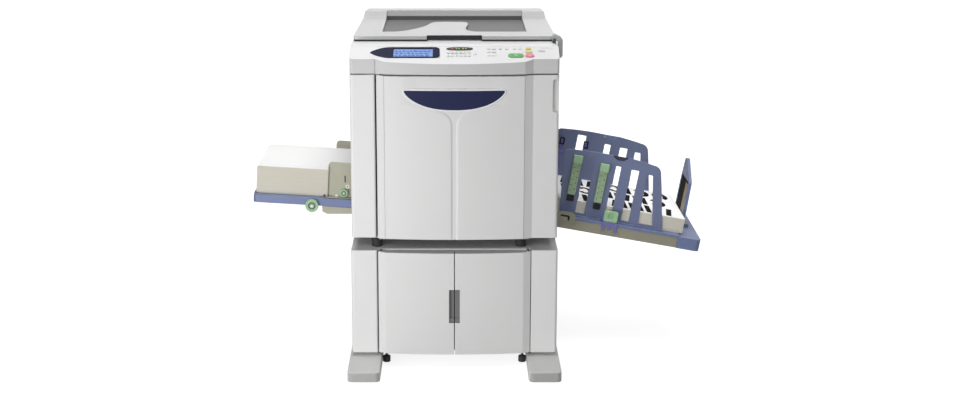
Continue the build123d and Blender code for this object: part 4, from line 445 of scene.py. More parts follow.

# %% [markdown]
# The covers are near white, but no two are quite the same shade, and paint, moulded plastic and
# steel differ in gloss. Steel is brushed along one direction, given as a stretch of its noise.
# Some colours here are painted shade: the lid's white is darker for the strong light from above,
# the front band of the panel and the fronts of the feet are darker, and two darks stand for the
# shade in gaps.

# %% Finishes of the covers and metals
ALONG_X, ALONG_Y = (3.0, 420.0, 420.0), (420.0, 3.0, 420.0)
finish("cover_white", (0.80, 0.80, 0.797), 0.44, grain=1100, depth=0.03)
finish("front_white", (0.745, 0.745, 0.742), 0.44, grain=1100, depth=0.03)
finish("cabinet_paint", (0.79, 0.79, 0.787), 0.52, grain=700, depth=0.035)
finish("panel_white", (0.84, 0.84, 0.85), 0.38, grain=1300)
# Painted shade: a darker white for the front band of the panel, which faces the front.
finish("band_painted_shade", (0.62, 0.62, 0.622), 0.44, grain=1100, depth=0.03)
# The lid's white is darker than the other covers: painted shade that tempers the strong light from
# above.
finish("lid_white", (0.58, 0.58, 0.58), 0.42, grain=1000, depth=0.03)
finish("well_grey", (0.175, 0.175, 0.178), 0.6, shine=0.2, depth=0.03, edge=(0.4, 0.4, 0.4))
finish("grip_grey", (0.19, 0.19, 0.19), 0.5, depth=0.03, edge=(0.3, 0.3, 0.3))
# Painted shade: a near black for the gap under the lid, the lid's grip and the gap beside the
# cover.
finish("gap_shade_black", (0.022, 0.022, 0.024), 0.6, depth=0.03, edge=(0.08, 0.08, 0.08))
finish("foot_grey", (0.69, 0.69, 0.68), 0.5, grain=600, depth=0.04, dust=0.25)
# Painted shade: the front faces of the feet, darker than their tops.
finish("foot_front_painted_shade", (0.44, 0.44, 0.435), 0.5, grain=600, depth=0.04)
# Painted shade: a grey for the shade in the gaps beside the columns, the doors and round the keys.
finish("gap_shade_grey", (0.20, 0.20, 0.21), 0.6, wear=0.0, dust=0.0)
finish("dark_paint", (0.075, 0.077, 0.082), 0.42, spread=0.15, edge=(0.35, 0.35, 0.36))
finish("steel", (0.60, 0.60, 0.61), 0.34, metallic=1.0, edge=(0.8, 0.8, 0.8), brushing=ALONG_X)
finish("frame_steel", (0.42, 0.42, 0.43), 0.58, metallic=1.0, edge=(0.6, 0.6, 0.6),
       brushing=ALONG_X)
finish("drum_screen", (0.52, 0.53, 0.55), 0.4, metallic=1.0, edge=(0.75, 0.75, 0.76),
       brushing=ALONG_Y)
print("finishes", len(finishes))

# %% [markdown]
# The smaller parts repeat a few plastics: black and navy ones on the panel, blue for the trays
# and fences, two beiges for the brackets and rails, and greens for what a hand turns.

# %% Finishes of the panel, the trays and the small parts
finish("black_rubber", (0.028, 0.028, 0.03), 0.72, spread=0.2, grain=500, depth=0.06, wear=0.1,
       edge=(0.12, 0.12, 0.12))
finish("black_plastic", (0.035, 0.035, 0.038), 0.46, spread=0.2, wear=0.15, edge=(0.2, 0.2, 0.2))
finish("navy_gloss", (0.026, 0.031, 0.085), 0.24, shine=0.16, spread=0.12, depth=0.004,
       edge=(0.12, 0.16, 0.36), dust=0.03)
finish("bezel_dark", (0.008, 0.012, 0.044), 0.3, shine=0.05, spread=0.12, depth=0.004,
       edge=(0.1, 0.12, 0.3), dust=0.03)
finish("lens_black", (0.012, 0.012, 0.014), 0.2, shine=0.3, wear=0.1, dust=0.02, depth=0.003)
finish("key_white", (0.83, 0.83, 0.82), 0.34, depth=0.008)
finish("key_green", (0.14, 0.45, 0.14), 0.36, shine=0.3, depth=0.008, edge=(0.5, 0.8, 0.5))
finish("key_red", (0.78, 0.20, 0.36), 0.3, depth=0.008, edge=(0.95, 0.5, 0.6))
finish("key_yellow", (0.76, 0.66, 0.16), 0.32, depth=0.008, edge=(0.9, 0.85, 0.4))
finish("legend_grey", (0.12, 0.12, 0.14), 0.5, wear=0.0, dust=0.0)
finish("lever_grey", (0.50, 0.51, 0.52), 0.42, edge=(0.65, 0.65, 0.66))
finish("pad_white", (0.86, 0.86, 0.85), 0.7, grain=350, depth=0.05, dust=0.02)
finish("pad_black", (0.008, 0.008, 0.009), 0.85, spread=0.3, grain=300, depth=0.1, wear=0.0,
       dust=0.01, shine=0.15)
finish("tray_blue", (0.165, 0.205, 0.375), 0.42, grain=800, depth=0.04, edge=(0.5, 0.54, 0.7))
finish("fence_blue", (0.155, 0.185, 0.31), 0.4, depth=0.03, edge=(0.3, 0.34, 0.48))
# Painted shade: a near black for the floor of the front fence's notch.
finish("notch_painted_shade", (0.03, 0.034, 0.055), 0.5, edge=(0.1, 0.1, 0.15))
finish("bracket_beige", (0.43, 0.42, 0.33), 0.4, grain=500, edge=(0.75, 0.73, 0.66))
finish("rail_beige", (0.30, 0.29, 0.22), 0.36, grain=500, edge=(0.5, 0.5, 0.42))
finish("soft_green", (0.34, 0.55, 0.32), 0.42, edge=(0.5, 0.66, 0.5))
finish("olive_green", (0.34, 0.47, 0.29), 0.44, edge=(0.35, 0.45, 0.32))
finish("lock_purple", (0.17, 0.165, 0.42), 0.4, edge=(0.4, 0.4, 0.65))
finish("foam_brown", (0.30, 0.235, 0.14), 0.8, grain=260, depth=0.08, wear=0.05)
finish("film_grey", (0.55, 0.56, 0.57), 0.25, coat=0.3, depth=0.01, brushing=(3.0, 500.0, 3.0))
finish("print_black", (0.008, 0.008, 0.009), 0.9, spread=0.3, wear=0.0, dust=0.0, shine=0.12)
print("finishes", len(finishes))

# %% [markdown]
# Some finishes need more than colour and grain: the clear glass of the scanner, the lit
# display, the lamps, and paper, whose cut edges show fine level lines and are painted darker and
# warmer as painted shade.

# %% Glass, display, lamps and paper
def glass_finish(name):
    """Clear float glass, slightly green."""
    material, tree, output = new_material(name)
    smudge = noise_node(tree, 19.0, 4.0)
    principled(name, material, output, {
        "Base Color": (0.86, 0.94, 0.91, 1), "Transmission Weight": 1.0, "IOR": 1.5,
        "Roughness": map_range(tree, smudge, 0.0, 1.0, 0.01, 0.06)})


def lit_finish(name, noise, dim, bright, strength, roughness, coat=0.0):
    """A surface that glows in two shades of a colour, such as a lamp or a display."""
    material, tree, output = new_material(name)
    tint = mix_color(tree, noise_node(tree, noise, 1.0), (*dim, 1), (*bright, 1))
    principled(name, material, output, {
        "Base Color": tint, "Emission Color": tint, "Emission Strength": strength,
        "Roughness": roughness, "Coat Weight": coat})


def lamp_finish(name, color, strength=0.7):
    """A small indicator lamp."""
    lit_finish(name, 900.0, color, [min(1, c * 1.3) for c in color], strength, 0.2)


def paper_finish(name, tilt):
    """White paper: bright faces, and on the cut edges of a tilted stack level lines with painted
    shade.
    """
    material, tree, output = new_material(name)
    turned = add_node(tree, "ShaderNodeMapping", {
        "Vector": object_place(tree), "Rotation": (0, -math.radians(tilt), 0),
        "Scale": (2.0, 2.0, 1400.0)})
    lines = noise_node(tree, 1.0, 3.0, turned, roughness=0.7)
    shape = add_node(tree, "ShaderNodeNewGeometry")
    parts = add_node(tree, "ShaderNodeSeparateXYZ", {0: shape.outputs["True Normal"]})
    upright = math_node(tree, "SUBTRACT", 1.0, math_node(tree, "ABSOLUTE", parts.outputs["Z"]))
    level = math_node(tree, "ADD", math_node(tree, "MULTIPLY", lines, 0.6), 0.4)
    edge_lines_and_shade = math_node(tree, "MULTIPLY", level, upright)
    # Painted shade: the upright cut edges are mixed towards a darker, warmer colour, along with
    # their level lines.
    side = mix_color(tree, edge_lines_and_shade, (0.93, 0.93, 0.925, 1), (0.50, 0.46, 0.34, 1))
    fibre = noise_node(tree, 240.0, 4.0, roughness=0.7)
    faint = math_node(tree, "MULTIPLY", fibre, 0.06)
    bump = add_node(tree, "ShaderNodeBump",
                    {"Strength": 0.4, "Distance": 0.05 * MM, "Height": edge_lines_and_shade})
    principled(name, material, output, {
        "Base Color": mix_color(tree, faint, side, (0.7, 0.69, 0.66, 1)),
        "Roughness": map_range(tree, fibre, 0.0, 1.0, 0.78, 0.92),
        "Specular IOR Level": 0.25, "Normal": bump})


glass_finish("platen_glass")
lit_finish("display_blue", 16.0, (0.07, 0.20, 0.60), (0.12, 0.28, 0.70), 0.12, 0.22, 0.08)
lamp_finish("lamp_green", (0.10, 0.62, 0.18))
lamp_finish("lamp_amber", (0.85, 0.60, 0.10))
lamp_finish("lamp_red", (0.80, 0.08, 0.06))
lamp_finish("display_ink", (0.015, 0.05, 0.22), 0.0)
paper_finish("paper", EXIT_TILT)
paper_finish("feed_paper", FEED_TILT)
print("finishes", len(finishes))

# %% [markdown]
# Every CAD node gets the finish of its slot. Where one slot serves parts that look different in
# the photograph, such as the two shades of the beige steel, the node is named here.

# %% Finishes on the CAD nodes
own_finish = {"tray_rails": "rail_beige", "arrangers_front": "olive_green",
              "frame_plates": "frame_steel", "front_cover": "front_white",
              "cabinet_door_left": "front_white", "cabinet_door_right": "front_white"}
for name, node in nodes.items():
    chosen = finishes[own_finish.get(name, slot_of[name])]
    for slot in node.material_slots:
        slot.material = chosen
    if not node.material_slots:
        node.data.materials.append(chosen)
print("dressed", len(nodes), "nodes")

# %% [markdown]
# A moulded or folded edge is never knife sharp: it shows as a thin line of light. The CAD
# solids have sharp edges, so each outer cover gets a copy whose edges are rounded by a Bevel
# modifier, and the copy takes the node's place. A bevel can't run over loose triangles, so the
# copy's corners are welded and its flat faces merged first. Where two solids of a piece touch,
# the weld would join them, so they are parted again, and faces with a hollow outline are split.

# %% A clean mesh for rounding
FLATNESS, WELD, SLIVER = 0.6, 0.004, 0.002


def merge_flat_faces(mesh):
    """Welds corners, parts touching solids and merges flat faces."""
    bmesh.ops.remove_doubles(mesh, verts=mesh.verts, dist=WELD * MM)
    touching = [edge for edge in mesh.edges if len(edge.link_faces) > 2]
    bmesh.ops.split_edges(mesh, edges=touching)
    bmesh.ops.dissolve_limit(mesh, angle_limit=math.radians(FLATNESS), verts=mesh.verts,
                             edges=mesh.edges)
    bmesh.ops.dissolve_degenerate(mesh, edges=mesh.edges, dist=SLIVER * MM)
    many = [face for face in mesh.faces if len(face.verts) > 4]
    bmesh.ops.connect_verts_concave(mesh, faces=many)
    mesh.verts.index_update()


def welded_mesh(node):
    """A copy of the CAD node's mesh with shared corners and merged flat faces."""
    mesh = bmesh.new()
    mesh.from_mesh(nodes[node].data)
    merge_flat_faces(mesh)
    points = [vertex.co[:] for vertex in mesh.verts]
    faces = [[vertex.index for vertex in face.verts] for face in mesh.faces]
    mesh.free()
    data = bpy.data.meshes.new(node + "_skin")
    data.from_pydata(points, [], faces)
    return data


def settle(piece):
    """Applies the piece's modifiers and leaves a plain mesh."""
    bpy.context.view_layer.update()
    evaluated = piece.evaluated_get(bpy.context.evaluated_depsgraph_get())
    final = bpy.data.meshes.new_from_object(evaluated)
    piece.modifiers.clear()
    piece.data = final
    return piece


print("loose triangles of the CAD nodes", sum(len(node.data.polygons) for node in nodes.values()))

# %% [markdown]
# After the bevel, flat faces have to keep one normal over their whole area, and only the
# roundings and the bowed faces may be shaded smooth. So every corner gets a normal of its own:
# the sum of the faces round it that turn by less than a limit, weighed by their areas.

# %% Shading and rounding
def shade(piece, curve=24, rounding=50):
    """Gives every corner of every face its own normal; the limits are angles in degrees."""
    data = piece.data
    near, wide = math.cos(math.radians(curve)), math.cos(math.radians(rounding))
    small_share, rounding_weight = 0.08, 0.001
    around = [[] for _ in data.vertices]
    facts = []
    for polygon in data.polygons:
        facts.append((polygon.normal.copy(), polygon.area, polygon.material_index > 0))
        polygon.use_smooth = True
        for vertex in polygon.vertices:
            around[vertex].append(polygon.index)
    normals = []
    for polygon in data.polygons:
        own, extent, rounded = facts[polygon.index]
        limit = wide if rounded else near
        for vertex in polygon.vertices:
            total = Vector()
            for other in around[vertex]:
                normal, area, soft = facts[other]
                if own.dot(normal) < limit or (soft and not rounded):
                    continue
                if not rounded and area < small_share * extent:
                    continue
                total += normal * area * (rounding_weight if soft else 1.0)
            normals.append(total.normalized() if total.length > 0 else own)
    data.normals_split_custom_set(normals)
    return piece


def round_edges(piece, width, angle=22, open_up=None):
    """Rounds the edges of a piece; the roundings carry a second index until they are shaded."""
    bevel = piece.modifiers.new("edges", "BEVEL")
    bevel.limit_method = "ANGLE"
    bevel.angle_limit = math.radians(angle)
    bevel.width = width * MM
    bevel.segments = 2
    bevel.miter_outer = "MITER_ARC"
    bevel.material = 1
    piece.data.materials.append(piece.data.materials[0])
    settle(piece)
    if open_up:
        worked(piece.data, open_up)
    shade(piece)
    for polygon in piece.data.polygons:
        polygon.material_index = 0
    piece.data.materials.pop(index=1)
    return piece


def carried(piece, body, slot, *replaced):
    """The piece rides on a body and may replace nodes; the slot is not used."""
    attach(piece, body)
    for node in replaced:
        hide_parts(node)
    return piece


print("rounding and shading ready")

# %% [markdown]
# A few covers need more than small roundings. The fixed columns roll back into the gap beside
# the cover and the doors, so those long edges get a wide radius first. The lid has a finger grip
# that is open at the top, cut out by a Boolean. Its deep well is dark only at its foot, and its
# lower rim is painted black as the shade of the gap under it, so its faces are split at those
# two levels; the well's far wall above the foot is painted light. The outer face of the front
# cover is taken away, because a finer relief goes there later.

# %% Changes to single covers
FIELD_DEPTH, BOW_RADIUS = -26.0, 1861.0
COVER_LOW, COVER_HIGH, FIELD_HALF = 411.0, 912.5, 210.1
COLUMN_EDGE, DOOR_TOP = -236, 372
wide_edges = {
    "front_column": (9.0, lambda x, y, z: abs(x - COLUMN_EDGE) < 0.6 and abs(y) < 0.6),
    "cabinet_panels": (6.5, lambda x, y, z: (abs(x - COLUMN_EDGE) < 0.8 and abs(y) < 0.8
                                             and z < DOOR_TOP)),
}
notches = {"lid": ((-85, 150, 996), (85, 183, 1030)),
           "control_panel": ((-238.4, -40, 900), (-234.6, 2.4, 961))}
split_levels = {"lid": (996.6, 1014.0)}
to_drawing = machine_frame.inverted()


def roll_edges(data, radius, test):
    """Gives the edges whose ends pass a test a wide radius before the fine roundings."""
    data.materials.append(None)
    data.materials.append(None)

    def roll(mesh):
        chosen = [edge for edge in mesh.edges
                  if all(test(*(to_drawing @ end.co)) for end in edge.verts)]
        rolled = bmesh.ops.bevel(mesh, geom=chosen, offset=radius * MM, segments=6, profile=0.5,
                                 affect="EDGES", clamp_overlap=True)
        for face in rolled["faces"]:
            face.material_index = 1

    worked(data, roll)


def unit_cube(mesh):
    """A cube of one metre."""
    bmesh.ops.create_cube(mesh, size=1.0)


def carve(piece, low, high):
    """Cuts a block, given in the millimetres of the drawing, out of a piece."""
    def fit(mesh):
        for vertex in mesh.verts:
            part = vertex.co + Vector((0.5, 0.5, 0.5))
            vertex.co = place(*(a + (b - a) * t for a, b, t in zip(low, high, part)))

    cutter = new_object("cutter", worked(bpy.data.meshes.new("cutter"), unit_cube, fit))
    cut = piece.modifiers.new("cut", "BOOLEAN")
    cut.operation, cut.solver, cut.object = "DIFFERENCE", "EXACT", cutter
    settle(piece)
    bpy.data.objects.remove(cutter)


def split_at_levels(mesh, heights):
    """Splits the faces of a mesh along levels, so that two finishes can meet there."""
    for height in heights:
        bmesh.ops.bisect_plane(mesh, geom=mesh.verts[:] + mesh.edges[:] + mesh.faces[:],
                               plane_co=place(0, 0, height), plane_no=(0, 0, 1))


def bow(x):
    """How far the bowed field of the front lies from the columns, at a place across it."""
    return FIELD_DEPTH + BOW_RADIUS - math.sqrt(BOW_RADIUS ** 2 - x ** 2)


def open_front(mesh):
    """Takes away the outer face of the cover's bowed field."""
    chosen = []
    for face in mesh.faces:
        spot = to_drawing @ face.calc_center_median()
        inside = abs(spot.x) < FIELD_HALF - 0.5 and COVER_LOW + 0.6 < spot.z < COVER_HIGH - 0.6
        if inside and spot.y < bow(spot.x) + 2.9:
            chosen.append(face)
    bmesh.ops.delete(mesh, geom=chosen, context="FACES")


print("covers with changes of their own", sorted({*wide_edges, *notches, *split_levels}))

# %% [markdown]
# The width of each rounding follows the material: thin sheet and small keys have tight edges,
# and large mouldings have softer ones.

# %% Rounded copies of the covers
edge_widths = {
    "front_cover": 1.1, "front_column": 1.1, "control_panel": 0.9, "scanner_housing": 1.4,
    "side_cover_left": 1.2, "side_cover_right": 1.2, "rear_cover": 1.2,
    "cabinet_panels": 1.0, "cabinet_door_left": 0.9, "cabinet_door_right": 0.9,
    "stabiliser_feet": 1.6, "display": 0.2,
    "number_keys": 0.7, "function_keys": 0.7, "start_key": 0.9, "stop_key": 0.8,
    "reset_keys": 0.7, "release_lever": 1.0, "feed_tray": 1.2, "feed_arms": 0.6,
    "feed_guide_front": 0.5, "feed_guide_rear": 0.5, "receiving_tray": 1.2, "tray_rails": 0.5,
    "wing_front": 0.6, "wing_rear": 0.6, "arrangers_front": 0.7, "fence_lock": 0.9,
    "end_stop": 1.2, "rubber_feet": 1.0, "lid": 1.6, "master_disposal_box": 1.0,
    "table_hinges": 0.8, "power_inlet": 0.4, "power_switch": 0.4, "drum_carriage": 0.8,
}


def rounded_copy(node, width):
    """A rounded copy of a node that takes its place."""
    piece = new_object(node + "_skin", welded_mesh(node))
    if node in notches:
        carve(piece, *notches[node])
    if node in split_levels:
        worked(piece.data, lambda mesh: split_at_levels(mesh, split_levels[node]))
    if node in wide_edges:
        roll_edges(piece.data, *wide_edges[node])
    piece.data.materials.clear()
    piece.data.materials.append(nodes[node].data.materials[0])
    round_edges(piece, width, open_up=open_front if node == "front_cover" else None)
    return carried(piece, body_of[node], slot_of[node], node)


skins = {node: rounded_copy(node, width) for node, width in edge_widths.items()}
print("rounded", len(skins), "pieces,", sum(len(s.data.polygons) for s in skins.values()), "faces")

# %% [markdown]
# Some pieces are of one moulding but show two colours, such as the dark liner of a grip or the
# deep well of the lid. Other faces get painted shade or light: the gaps beside the cover, the left
# door and the lid, the lid's grip, the front band of the panel and the fronts of the feet are
# painted darker, and the upper part of the well's far wall lighter. A small function gives the
# faces of a copy whose middle lies in a region another finish, counted in the millimetres of the
# drawing. The last value of each test is the way a face looks.

# %% Two-coloured pieces
LID_BOTTOM, WELL_WALL_FOOT = 993.0, 1014.0
WELL_LOW = LID_BOTTOM + 7.5
GRIP_LOW, GRIP_HIGH = 145.5, 251.5


def dye_or_paint_light(piece, finish_name, test, space=machine_frame):
    """Gives the faces that pass a test another finish."""
    data = piece.data
    data.materials.append(finishes[finish_name])
    back = space.inverted()
    chosen = [face for face in data.polygons if test(*(back @ face.center), face.normal)]
    for face in chosen:
        face.material_index = len(data.materials) - 1
    print(piece.name, finish_name, "on", len(chosen), "faces")


def back_wall(x, y, n):
    """The far wall of the lid's well, which looks to the front."""
    return abs(x) < 226.5 and y < 601 and n.y < -0.9


def grip(x, y, z):
    """The pocket of a door's grip, for a place counted from the gap between the doors."""
    return 0 < x < 17 and GRIP_LOW < z < GRIP_HIGH and -25.6 < y < -2


dye_or_paint_light(skins["lid"], "well_grey", lambda x, y, z, n: (
    WELL_LOW < z < LID_BOTTOM + 8.6 and abs(x) < 229 and 255 < y < 604 and n.z > 0.9))
dye_or_paint_light(skins["lid"], "well_grey", lambda x, y, z, n: (
    WELL_LOW < z < WELL_WALL_FOOT and y > 596 and back_wall(x, y, n)))
# Painted light: the upper part of the well's far wall lies in shade and is painted a lighter white.
dye_or_paint_light(skins["lid"], "pad_white", lambda x, y, z, n: (
    WELL_WALL_FOOT < z < 1034.5 and y > 590 and back_wall(x, y, n)))
# Painted shade: the lid's lower rim is painted black as the gap line under it.
dye_or_paint_light(skins["lid"], "gap_shade_black", lambda x, y, z, n: (
    z < 996.6 and (n.y < -0.5 or abs(n.x) > 0.5) and (y < 180 or abs(x) > 300)))
# Painted shade: the cover's left side face is painted black as the gap beside the column.
dye_or_paint_light(skins["front_cover"], "gap_shade_black", lambda x, y, z, n: x < -232.6 and n.x < -0.6)
# Painted shade: where the column's rolled edge and the left door's edge turn into the gap, they are
# painted grey.
dye_or_paint_light(skins["front_column"], "gap_shade_grey", lambda x, y, z, n: x > -240 and n.x > 0.66)
dye_or_paint_light(skins["cabinet_door_left"], "gap_shade_grey", lambda x, y, z, n: x < -232.6 and n.x < -0.6)
# Painted shade: the walls and floor of the lid's grip notch are painted black.
dye_or_paint_light(skins["lid"], "gap_shade_black", lambda x, y, z, n: (
    abs(x) < 85.5 and 165.5 < y < 184 and z < LID_BOTTOM + 22))
# The front band's faces are painted darker, as painted shade.
for name in ("scanner_housing", "control_panel"):
    dye_or_paint_light(skins[name], "band_painted_shade", lambda x, y, z, n: n.y < -0.7 and y < 20 and z > 913)
# Painted shade: the feet's front faces are darker than their tops.
dye_or_paint_light(skins["stabiliser_feet"], "foot_front_painted_shade", lambda x, y, z, n: n.y < -0.6)
dye_or_paint_light(skins["cabinet_door_left"], "grip_grey", lambda x, y, z, n: grip(-x, y, z))
dye_or_paint_light(skins["cabinet_door_right"], "grip_grey", lambda x, y, z, n: grip(x, y, z))

# %% [markdown]
# The face of the front cover is pressed into a soft relief: below a navy crescent with a raised
# lip, a valley falls like the stem of a tulip, and its two flanks roll off smoothly. Such a form
# is a height over every place of the face, so it is computed on a grid that is fine only where
# the relief bends.

# %% Relief of the front cover
STEM_HALF, STEM_FOOT, STEM_HEAD, STEM_SPREAD, STEM_CURVE = 11.5, 745.0, 818.0, 83.5, 4.2
FLANK, VALLEY, SHALLOWER_AT_FOOT = 7.0, 3.6, 1.4


def eased(value):
    """A step from 0 to 1 without a corner."""
    value = min(max(value, 0.0), 1.0)
    return value * value * (3 - 2 * value)


def relief(x, z):
    """The height of the cover's face: 0 on the field and negative in the valley."""
    rise = min(max((z - STEM_FOOT) / (STEM_HEAD - STEM_FOOT), 0.0), 1.15)
    half = STEM_HALF + STEM_SPREAD * rise ** STEM_CURVE
    lean = STEM_CURVE * STEM_SPREAD * rise ** (STEM_CURVE - 1) / (STEM_HEAD - STEM_FOOT)
    inward = (half - abs(x)) / math.sqrt(1 + lean ** 2)
    depth = VALLEY - SHALLOWER_AT_FOOT * (1 - eased((z - COVER_LOW) / 30))
    return -depth * eased(inward / FLANK)


def spread(*stops):
    """Places from the first stop to the last; each stop has the pitch of the stretch after it."""
    places = [stops[0][0]]
    for (low, pitch), (high, _) in zip(stops, stops[1:]):
        count = max(1, round((high - low) / pitch))
        places += [low + (high - low) * (step + 1) / count for step in range(count)]
    return places


def cover_relief(mesh):
    """The face of the cover as a grid, with a skirt that runs into the wall."""
    across = spread((-FIELD_HALF, 9.0), (-120, 3.0), (-30, 0.9), (30, 3.0), (120, 9.0),
                    (FIELD_HALF, 0))
    up = spread((COVER_LOW, 8.0), (451, 36.0), (735, 4.0), (765, 1.6), (846, 10.0), (COVER_HIGH, 0))
    rows = [[mesh.verts.new(place(x, bow(x) - relief(x, z), z)) for x in across] for z in up]
    for low, high in zip(rows, rows[1:]):
        join_rows(mesh, low, high, closed=False)
    right, left = [row[-1] for row in rows[1:]], [row[0] for row in rows[-2:0:-1]]
    rim = rows[0] + right + rows[-1][-2::-1] + left
    skirt = [mesh.verts.new(vertex.co + Vector((0, 1.0 * MM, 0))) for vertex in rim]
    for index, corner in enumerate(rim):
        after = (index + 1) % len(rim)
        mesh.faces.new((corner, skirt[index], skirt[after], rim[after]))


def front_form(name, finish_name, draw, *replaced):
    """A form of the cover's face."""
    def weld(mesh):
        bmesh.ops.remove_doubles(mesh, verts=mesh.verts, dist=0.02 * MM)

    piece = new_object(name, worked(bpy.data.meshes.new(name), draw, weld))
    piece.data.materials.append(finishes[finish_name])
    shade(piece, 35)
    slot = slot_of[replaced[0] if replaced else "front_cover"]
    return carried(piece, body_of["front_cover"], slot, *replaced)


cover_face = front_form("cover_relief", "front_white", cover_relief)
print("relief", len(cover_face.data.polygons), "faces")

# %% [markdown]
# The crescent has a straight upper edge and a full, round lower one. The bare plate is a grid
# between the two edges and follows the bow of the front. The lip is one rounded profile that is
# swept round the outline, and each of its rings is laid on the same bow.

# %% Crescent and its lip
CRESCENT_HALF, CRESCENT_TOP, CRESCENT_CORNER, CRESCENT_DEPTH = 151.0, 870.5, 3.0, 56.0


def crescent_top(x):
    """The upper edge of the crescent: straight, with round corners."""
    past = max(abs(x) - (CRESCENT_HALF - CRESCENT_CORNER), 0.0)
    return CRESCENT_TOP - CRESCENT_CORNER + math.sqrt(max(CRESCENT_CORNER ** 2 - past ** 2, 0.0))


def crescent_foot(x):
    """The lower edge of the crescent, fuller than a circle."""
    part = min(abs(x) / CRESCENT_HALF, 1.0)
    return CRESCENT_TOP - CRESCENT_CORNER - CRESCENT_DEPTH * (1 - part ** 2.4) ** 0.7


def across_crescent(half, steps=40):
    """Places from one tip to the other, close together at the tips."""
    return [-half * math.cos(math.pi * step / steps) for step in range(steps + 1)]


def crescent_plate(mesh, parts=4):
    """The bare navy plate: a grid for its face and one for its back."""
    for lift, order in ((0.9, 1), (-2.6, -1)):
        rows = []
        for x in across_crescent(CRESCENT_HALF + 0.3):
            low, high = crescent_foot(x), crescent_top(x)
            rows.append([mesh.verts.new(place(x, bow(x) - lift, low + (high - low) * part / parts))
                         for part in range(parts + 1)])
        for left, right in zip(rows, rows[1:]):
            for part in range(parts):
                corners = (left[part], right[part], right[part + 1], left[part + 1])
                mesh.faces.new(corners[::order])


def crescent_lip(mesh):
    """The raised lip: one rounded profile swept round the crescent."""
    across = across_crescent(CRESCENT_HALF)
    top = [(x, crescent_top(x)) for x in across]
    outline = top + [(x, crescent_foot(x)) for x in across[1:-1]][::-1]
    turns = [math.radians(18 * step) for step in range(1, 10)]
    profile = [(-0.4, -3.4), (-0.4, 0.9)]
    profile += [(2.1 - 2.5 * math.cos(turn), 0.9 + 1.2 * math.sin(turn)) for turn in turns]
    profile += [(4.6, 0.9), (4.9, 0.0), (4.9, -3.4)]
    rings = []
    for index, (x, z) in enumerate(outline):
        before, after = Vector(outline[index - 1]), Vector(outline[(index + 1) % len(outline)])
        along = (after - before).normalized()
        spots = [(x - along.y * offset, z + along.x * offset, lift) for offset, lift in profile]
        rings.append([mesh.verts.new(place(u, bow(u) - lift, w)) for u, w, lift in spots])
    for ring, after in zip(rings, rings[1:] + rings[:1]):
        join_rows(mesh, ring, after, closed=False)


# The lip takes the lighter panel white, a painted highlight for the light on its rounded edge.
lip = front_form("crescent_lip", "panel_white", crescent_lip)
crescent = front_form("crescent_plate", "navy_gloss", crescent_plate, "emblem_plate")
print("lip", len(lip.data.polygons), "faces, plate", len(crescent.data.polygons))

# %% [markdown]
# Small parts such as marks, lamps, screws and pads are drawn from a few plain forms: a block, a
# ring and a flat outline with some thickness. Each is placed in one of the frames, the
# machine's or a tray's, in millimetres, and gets its rounded edges like the large covers.

# %% Plain forms for the small parts
def add_block(mesh, space, low, high):
    """A block between two corners."""
    corners = [space @ Vector((x, y, z)) for z in (low[2], high[2]) for y in (low[1], high[1])
               for x in (low[0], high[0])]
    points = [mesh.verts.new(corner) for corner in corners]
    for face in ((0, 2, 3, 1), (4, 5, 7, 6), (0, 1, 5, 4), (2, 6, 7, 3), (0, 4, 6, 2),
                 (1, 3, 7, 5)):
        mesh.faces.new([points[index] for index in face])


def lay(mesh, space, outline, height):
    """The corners of an outline at a height of its frame."""
    return [mesh.verts.new(space @ Vector((x, y, height))) for x, y in outline]


def add_prism(mesh, space, outline, thickness, start=0.0):
    """A flat outline in x and y that is given thickness along z of its frame."""
    low, high = lay(mesh, space, outline, start), lay(mesh, space, outline, start + thickness)
    mesh.faces.new(low[::-1])
    mesh.faces.new(high)
    join_rows(mesh, low, high)


def round_outline(x, y, width, length, radius, steps=5):
    """A rectangle with round corners about a middle."""
    points = []
    for corner, (side, up) in enumerate(((1, 1), (-1, 1), (-1, -1), (1, -1))):
        for step in range(steps + 1):
            angle = math.radians(90 * (corner + step / steps))
            points.append((x + side * (width / 2 - radius) + radius * math.cos(angle),
                           y + up * (length / 2 - radius) + radius * math.sin(angle)))
    return points


def circle_outline(x, y, radius, steps=24):
    """A circle as a polygon."""
    turns = [2 * math.pi * step / steps for step in range(steps)]
    return [(x + radius * math.cos(turn), y + radius * math.sin(turn)) for turn in turns]


def add_ring(mesh, space, x, y, outer, inner, thickness, start=0.0, steps=28):
    """A flat ring."""
    top = start + thickness
    rows = [lay(mesh, space, circle_outline(x, y, radius, steps), height)
            for radius, height in ((inner, start), (outer, start), (outer, top), (inner, top))]
    for low, high in zip(rows, rows[1:] + rows[:1]):
        join_rows(mesh, low, high)


def facing_front(space):
    """A frame whose z looks towards the viewer and whose x and y lie in the front face."""
    return space @ Matrix.Rotation(math.pi / 2, 4, "X")


def make(name, body, slot, finish_name, draw, width=0.0):
    """Draws a small piece, rounds its edges by a width and lets it ride on a body."""
    def face_outwards(mesh):
        bmesh.ops.recalc_face_normals(mesh, faces=mesh.faces)

    piece = new_object(name, worked(bpy.data.meshes.new(name), draw, face_outwards))
    piece.data.materials.append(finishes[finish_name])
    if width > 0:
        round_edges(piece, width, 30)
    else:
        shade(piece)
    made[name] = piece
    return carried(piece, body, slot)


made = {}
front_view, exit_front = facing_front(machine_frame), facing_front(exit_frame)
print("forms ready")

# %% [markdown]
# The control panel slopes, so its marks lie in a frame of their own: x to the right, y up the
# slope and z straight out of it. The keys were drawn from above, so their places are stretched
# along the slope. Every key sits in a thin seam, whose shade is painted as a dark ring, the number
# keys carry digits of seven strokes, and the other keys have short legends above them, as they
# are too small to read.

